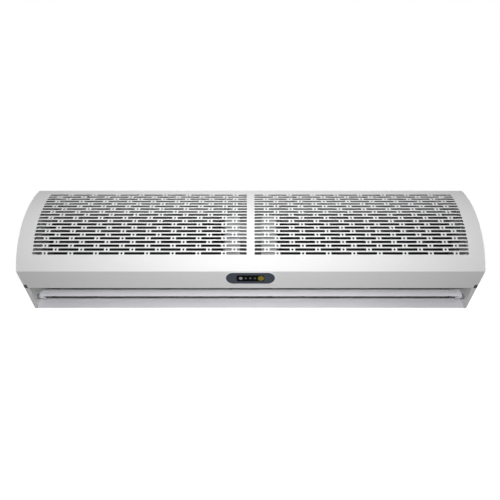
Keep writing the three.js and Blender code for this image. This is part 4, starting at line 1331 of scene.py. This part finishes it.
# ---------------------------------------------------------------- display
def rounded_window(name, long, wide, corner, z0, z1):
    down, across = settings("display").down, settings("display").across
    low, high = (across - long / 2, down - wide / 2, z0), (across + long / 2, down + wide / 2, z1)
    piece = add_block(name, low, high)
    with editing(piece):
        pick(piece, "edges", lambda edge: spans(edge, 2) > NEARLY)
        bevel(corner, 5)
    return piece


def panel_drum(name, x, radius, z0, z1, sides=40):
    return add_drum(name, (x, settings("display").down, (z0 + z1) / 2), radius, z1 - z0, "Z", sides)


def domed(piece, rise, radius):
    """Raises the front of a drum into a shallow dome: insets its front face and lifts it, thrice."""
    with editing(piece):
        front = min(v.co.z for v in piece.data.vertices)
        pick(piece, "faces", lambda face: face.normal.z < -0.9 and middle_of(face).z < front + NEARLY)
        for share in (0.10, 0.16, 0.26):
            bpy.ops.mesh.inset(thickness=radius * share)
            move((0, 0, -rise * share * 1.4))
    return piece


BODY_DEPTH = 11.7 * MM  # how far the display reaches behind the panel


def build_display():
    """The rim with its body, the gasket, the black window, the receiver and the light guide."""
    display = settings("display")
    long, wide = display.pill_length, display.pill_width
    rim_front = -1.5 * MM
    rim = stadium("display_rim", long, wide, rim_front, -FIT, 48)
    with editing(rim):
        pick(rim, "edges", lambda edge: lies_at(edge, 2, rim_front) and edge.is_manifold)
        bevel(0.7 * MM, 4)
    body = stadium("body", long - 6 * MM, wide - 6 * MM, -0.9 * MM, BODY_DEPTH)
    hollow = stadium("hollow", long - 10 * MM, wide - 10 * MM, 0.2 * MM, 13 * MM)
    weld(rim, cut(body, hollow))
    glass_long, glass_wide = display.window_length, display.window_width
    play = 2 * FIT
    cut(rim, rounded_window("opening", glass_long + play, glass_wide + play, 4.7 * MM, -4 * MM, 6 * MM))
    complete(onto_panel(rim), "slate_plastic", "casing", ["display_bezel"], sharp=28)

    seat = stadium("display_gasket", long + 2.6 * MM, wide + 2.6 * MM, -0.9 * MM, -0.1 * MM, 48)
    round_edges(seat, 0.35 * MM, 2)
    cut(seat, stadium("inside", long - 4 * MM, wide - 4 * MM, -3 * MM, 3 * MM))
    complete(onto_panel(seat), "white_plastic", "casing", [], sharp=28)

    window = rounded_window("display_glass", glass_long, glass_wide, 4.4 * MM, -1.2 * MM, 0.8 * MM)
    round_edges(window, 0.25 * MM, 2)
    holes = [panel_drum("hole", display.receiver_at, 3.8 * MM, -4 * MM, 4 * MM)]
    lights = [display.light_at + i * display.light_pitch for i in range(3)]
    holes += [panel_drum("hole", x, display.light + 0.2 * MM, -4 * MM, 4 * MM, 24) for x in lights]
    holes.append(panel_drum("hole", display.button_at, display.button + 0.4 * MM, -4 * MM, 4 * MM, 48))
    cut(window, *holes)
    complete(onto_panel(window), "black_gloss", "casing", ["display_window"], sharp=28)

    lens = 3.5 * MM
    receiver = panel_drum("receiver_lens", display.receiver_at, lens, -1.3 * MM, BODY_DEPTH)
    domed(receiver, 0.5 * MM, lens)
    complete(onto_panel(receiver), "pale_plastic", "casing", ["signal_receiver"])

    bar, down = 2.2 * MM, display.down
    guide = add_block(
        "light_guide",
        (lights[0] - bar, down - bar, 1.1 * MM),
        (lights[-1] + bar, down + bar, 3.1 * MM),
    )
    round_edges(guide, 0.3 * MM, 2)
    leg = add_block(
        "leg",
        (lights[1] - bar, down - 2.1 * MM, 2 * MM),
        (lights[1] + bar, down + 2.1 * MM, BODY_DEPTH),
    )
    pips = [panel_drum("pip", x, display.light, -1.2 * MM, 2 * MM, 24) for x in lights]
    for pip in pips:
        domed(pip, 0.4 * MM, display.light)
    weld(guide, leg, *pips)
    complete(onto_panel(guide), "smoky_plastic", "casing", ["indicator_light_guide"])


def build_power_button():
    display = settings("display")
    cap = panel_drum("button_cap", display.button_at, display.button, -1.7 * MM, 2.1 * MM, 48)
    domed(cap, 0.5 * MM, display.button)
    flange = panel_drum("flange", display.button_at, display.button + 1.5 * MM, 1.1 * MM, 2.1 * MM, 48)
    stem = panel_drum("stem", display.button_at, 2 * MM, 1.5 * MM, 7.5 * MM, 24)
    weld(cap, flange, stem)
    complete(onto_panel(cap), "gold_button", "power_button", ["power_button"], sharp=25)


# ---------------------------------------------------------------- electrics and screws
def build_electrics():
    low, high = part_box("capacitor")
    middle, radius = (low + high) / 2, (high.z - low.z) / 2
    can = add_drum("capacitor_can", middle, radius, high.x - low.x, "X", 48)
    round_edges(can, 1.2 * MM, 3)
    complete(can, "pale_plastic", "casing", ["capacitor"])
    for node, width, slot in (
        ("capacitor_clip", 0.25 * MM, "galvanised_sheet"),
        ("terminal_block", 0.4 * MM, "pale_plastic"),
        ("control_board", 0.2 * MM, "board_green"),
        ("push_switch", 0.3 * MM, "dark_plastic"),
    ):
        piece = refined(node, node + "_part", width)
        complete(piece, slot, "casing", [node])
    low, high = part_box("cable_grommet")
    middle, reach = (low + high) / 2, high.y - low.y
    grommet = add_drum("grommet_ring", (middle.x, low.y + 1.5 * MM, middle.z), 13 * MM, 3 * MM, "Y", 48)
    round_edges(grommet, 1.1 * MM, 3)
    neck = add_drum("neck", (middle.x, low.y + reach / 2, middle.z), 10 * MM, reach, "Y", 48)
    weld(grommet, neck)
    cut(grommet, add_drum("bore", middle, 5 * MM, 0.1, "Y", 40))
    complete(grommet, "black_rubber", "casing", ["cable_grommet"])


def cross_recess(place, axis, reach, depth):
    """The two crossed blades that cut a screw's drive."""
    wide, long = 0.9 * MM, reach
    size = {
        "Y": ((long, depth, wide), (wide, depth, long)),
        "Z": ((long, wide, depth), (wide, long, depth)),
    }
    blades = []
    for span in size[axis]:
        half = Vector(span) / 2
        blades.append(add_block("recess", Vector(place) - half, Vector(place) + half))
    return weld(*blades)


def build_screw(node, axis, head_depth, rounding, overlap, drive_depth):
    """A screw in its node's box, its head up for axis Z or to the front for axis Y."""
    low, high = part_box(node)
    along = "XYZ".index(axis)
    face, inwards = (high[along], -1) if axis == "Z" else (low[along], 1)
    reach = high[along] - low[along]

    def behind_face(depth):
        place = (low + high) / 2
        place[along] = face + inwards * depth
        return place

    head = add_drum(node + "_head", behind_face(head_depth / 2), 4 * MM, head_depth, axis, 32)
    round_edges(head, rounding, 3)
    shank_middle = behind_face((overlap + reach) / 2)
    weld(head, add_drum("shank", shank_middle, 2 * MM, reach - overlap, axis, 20))
    cut(head, cross_recess(behind_face(0), axis, 4.6 * MM, drive_depth))
    complete(head, "shaft_steel", "casing", [node])


def build_screws():
    for node in COVER_SCREWS:
        build_screw(node, "Z", 0.9 * MM, 0.35 * MM, 0.6 * MM, 1 * MM)
    for kind in ("motor_bracket", "bearing_bracket"):
        for name, _ in SIDES:
            for number in (1, 2):
                node = f"{kind}_screw_{name}_{number}"
                build_screw(node, "Y", 2.2 * MM, 0.7 * MM, 1 * MM, 1.4 * MM)


# ---------------------------------------------------------------- stage
def seen_rays(tree):
    """1 where the camera looks, straight, in gloss or through glass, and 0 for all other light."""
    path = put(tree, "ShaderNodeLightPath").outputs
    seen = calc(tree, "MAXIMUM", path["Is Camera Ray"], path["Is Glossy Ray"])
    return calc(tree, "MAXIMUM", seen, path["Is Transmission Ray"])


def paper_white():
    """A pale floor that shows white to the camera and in gloss, and still takes shadows."""
    material = bpy.data.materials.new("pale_floor")
    material.use_nodes = True
    tree = material.node_tree
    tree.nodes.clear()
    place = put(tree, "ShaderNodeTexCoord").outputs["Object"]
    noise = put(tree, "ShaderNodeTexNoise", {"Vector": place, "Scale": 3.0, "Detail": 4.0})
    shade = blend_colour(tree, noise.outputs["Fac"], (0.25, 0.25, 0.25), (0.29, 0.29, 0.29))
    matt = put(tree, "ShaderNodeBsdfDiffuse", {"Color": shade})
    glow = put(tree, "ShaderNodeEmission", {"Color": (1, 1, 1, 1), "Strength": 1.3})
    share = calc(tree, "MULTIPLY", seen_rays(tree), 0.86)
    floor = put(tree, "ShaderNodeMixShader", {0: share, 1: matt.outputs[0], 2: glow.outputs[0]})
    clear = put(tree, "ShaderNodeBsdfTransparent")
    under = put(tree, "ShaderNodeNewGeometry").outputs["Backfacing"]
    both = put(tree, "ShaderNodeMixShader", {0: under, 1: floor.outputs[0], 2: clear.outputs[0]})
    put(tree, "ShaderNodeOutputMaterial", {"Surface": both.outputs[0]})
    return material


def light_room(level):
    world = bpy.data.worlds.new("white_room")
    bpy.context.scene.world = world
    world.use_nodes = True
    tree = world.node_tree
    tree.nodes.clear()
    plain = put(tree, "ShaderNodeBackground", {"Color": (1, 1, 1, 1), "Strength": level})
    white = put(tree, "ShaderNodeBackground", {"Color": (1, 1, 1, 1), "Strength": 1.0})
    sockets = {0: seen_rays(tree), 1: plain.outputs[0], 2: white.outputs[0]}
    mix = put(tree, "ShaderNodeMixShader", sockets)
    put(tree, "ShaderNodeOutputWorld", {"Surface": mix.outputs[0]})


def add_lamp(name, place, aim, size, power):
    only()
    bpy.ops.object.light_add(type="AREA", location=place)
    lamp = bpy.context.object
    lamp.name = name
    lamp.data.shape = "RECTANGLE"
    lamp.data.size, lamp.data.size_y = size
    lamp.data.energy = power
    lamp.visible_camera = False
    lamp.rotation_euler = (Vector(aim) - Vector(place)).to_track_quat("-Z", "Y").to_euler()


ROOM_LAMPS = (
    ("back_lamp", (0, 1.5, 0.45)),
    ("low_lamp", (0, 1.0, -0.5)),
    ("left_lamp", (-1.6, 0.35, 0.35)),
    ("right_lamp", (1.6, 0.35, 0.35)),
)


def build_stage():
    stage = settings("stage")
    only()
    bpy.ops.mesh.primitive_plane_add(size=12, location=(0, 3, -stage.floor_drop))
    floor = settle(named("floor"))
    floor.data.materials.append(paper_white())
    light_room(stage.room)
    middle = (0, FRONT, 0.13)  # of the front, a little over the crease
    key_place = (0, -stage.key_away, stage.key_height)
    add_lamp("key_lamp", key_place, middle, (0.2, 0.06), stage.key_power)
    add_lamp("top_lamp", (0, FRONT - 0.45, 0.80), middle, (0.3, 0.3), stage.top_power)
    for name, place in ROOM_LAMPS:
        add_lamp(name, place, (0, 0, AXIS.z), (1.0, 0.6), stage.back_power)
    only()
    place = (0, -stage.camera_away, stage.camera_height)
    bpy.ops.object.camera_add(location=place, rotation=(pi / 2, 0, 0))
    camera = bpy.context.object
    camera.data.sensor_width = 36
    camera.data.lens = stage.lens
    camera.data.shift_x = stage.shift_x
    camera.data.shift_y = stage.shift_y
    camera.data.clip_start = 0.01
    bpy.context.scene.camera = camera
    bpy.context.scene.view_settings.view_transform = "Standard"


# ---------------------------------------------------------------- operators
class AIR_CURTAIN_OT_stage(bpy.types.Operator):
    """Adds the pale floor, the lamps, the room light and the camera"""

    bl_idname = "air_curtain.stage"
    bl_label = "Stage"

    def execute(self, context):
        build_stage()
        return {"FINISHED"}


class AIR_CURTAIN_OT_front_cover(bpy.types.Operator):
    """Models the curved, slotted front cover with its lower panel and side walls"""

    bl_idname = "air_curtain.front_cover"
    bl_label = "Front cover"

    def execute(self, context):
        build_front_cover()
        return {"FINISHED"}


class AIR_CURTAIN_OT_end_caps(bpy.types.Operator):
    """Models the two moulded end caps with their mouth flanges"""

    bl_idname = "air_curtain.end_caps"
    bl_label = "End caps"

    def execute(self, context):
        build_end_caps()
        return {"FINISHED"}


class AIR_CURTAIN_OT_casing(bpy.types.Operator):
    """Models the back casing and the plate that hangs it on the wall"""

    bl_idname = "air_curtain.casing"
    bl_label = "Back casing and wall plate"

    def execute(self, context):
        build_back_casing()
        build_wall_plate()
        return {"FINISHED"}


class AIR_CURTAIN_OT_duct(bpy.types.Operator):
    """Models the duct walls and the ramp at the outlet"""

    bl_idname = "air_curtain.duct"
    bl_label = "Duct and outlet ramp"

    def execute(self, context):
        build_duct()
        build_outlet_lip()
        return {"FINISHED"}


class AIR_CURTAIN_OT_vane(bpy.types.Operator):
    """Models the outlet vane and its two bushes"""

    bl_idname = "air_curtain.vane"
    bl_label = "Vane"

    def execute(self, context):
        build_vane()
        return {"FINISHED"}


class AIR_CURTAIN_OT_fan(bpy.types.Operator):
    """Models the two cross-flow impellers with their hubs and shafts"""

    bl_idname = "air_curtain.fan"
    bl_label = "Fan"

    def execute(self, context):
        build_impellers()
        build_rotor_metal()
        return {"FINISHED"}


class AIR_CURTAIN_OT_motor(bpy.types.Operator):
    """Models the motor, its rubber mounts, the brackets and the bearings"""

    bl_idname = "air_curtain.motor"
    bl_label = "Motor and brackets"

    def execute(self, context):
        build_motor()
        return {"FINISHED"}


class AIR_CURTAIN_OT_display(bpy.types.Operator):
    """Models the display on the lower panel and its power button"""

    bl_idname = "air_curtain.display"
    bl_label = "Display"

    def execute(self, context):
        build_display()
        build_power_button()
        return {"FINISHED"}


class AIR_CURTAIN_OT_electrics(bpy.types.Operator):
    """Models the capacitor, terminal block, board, switch and cable grommet"""

    bl_idname = "air_curtain.electrics"
    bl_label = "Electrics"

    def execute(self, context):
        build_electrics()
        return {"FINISHED"}


class AIR_CURTAIN_OT_screws(bpy.types.Operator):
    """Models the cover screws and the bracket screws"""

    bl_idname = "air_curtain.screws"
    bl_label = "Screws"

    def execute(self, context):
        build_screws()
        return {"FINISHED"}


OPERATORS = (
    AIR_CURTAIN_OT_stage,
    AIR_CURTAIN_OT_front_cover,
    AIR_CURTAIN_OT_end_caps,
    AIR_CURTAIN_OT_casing,
    AIR_CURTAIN_OT_duct,
    AIR_CURTAIN_OT_vane,
    AIR_CURTAIN_OT_fan,
    AIR_CURTAIN_OT_motor,
    AIR_CURTAIN_OT_display,
    AIR_CURTAIN_OT_electrics,
    AIR_CURTAIN_OT_screws,
)
GROUPS = {
    "cover": CoverSizes,
    "outlet": OutletSizes,
    "fan": FanSizes,
    "display": DisplaySizes,
    "finishes": Finishes,
    "stage": StageSizes,
}


class AIR_CURTAIN_PT_panel(bpy.types.Panel):
    """Lists the pieces, and the sizes and colours that they are made from"""

    bl_idname = "AIR_CURTAIN_PT_panel"
    bl_label = "Air Curtain"
    bl_space_type = "VIEW_3D"
    bl_region_type = "UI"
    bl_category = "Air Curtain"

    def draw(self, context):
        for operator in OPERATORS:
            self.layout.operator(operator.bl_idname)
        for name, group in GROUPS.items():
            box = self.layout.box()
            box.label(text=name.capitalize())
            for key in group.__annotations__:
                box.prop(settings(name), key)


def register():
    for name, group in GROUPS.items():
        bpy.utils.register_class(group)
        setattr(bpy.types.Scene, "air_curtain_" + name, PointerProperty(type=group))
    for cls in (*OPERATORS, AIR_CURTAIN_PT_panel):
        bpy.utils.register_class(cls)


def unregister():
    for cls in reversed((*OPERATORS, AIR_CURTAIN_PT_panel)):
        bpy.utils.unregister_class(cls)
    for name, group in GROUPS.items():
        delattr(bpy.types.Scene, "air_curtain_" + name)
        bpy.utils.unregister_class(group)


def main():
    register()
    bpy.ops.air_curtain.stage()
    bpy.ops.air_curtain.front_cover()
    bpy.ops.air_curtain.end_caps()
    bpy.ops.air_curtain.casing()
    bpy.ops.air_curtain.duct()
    bpy.ops.air_curtain.vane()
    bpy.ops.air_curtain.fan()
    bpy.ops.air_curtain.motor()
    bpy.ops.air_curtain.display()
    bpy.ops.air_curtain.electrics()
    bpy.ops.air_curtain.screws()


if __name__ == "__main__":
    main()
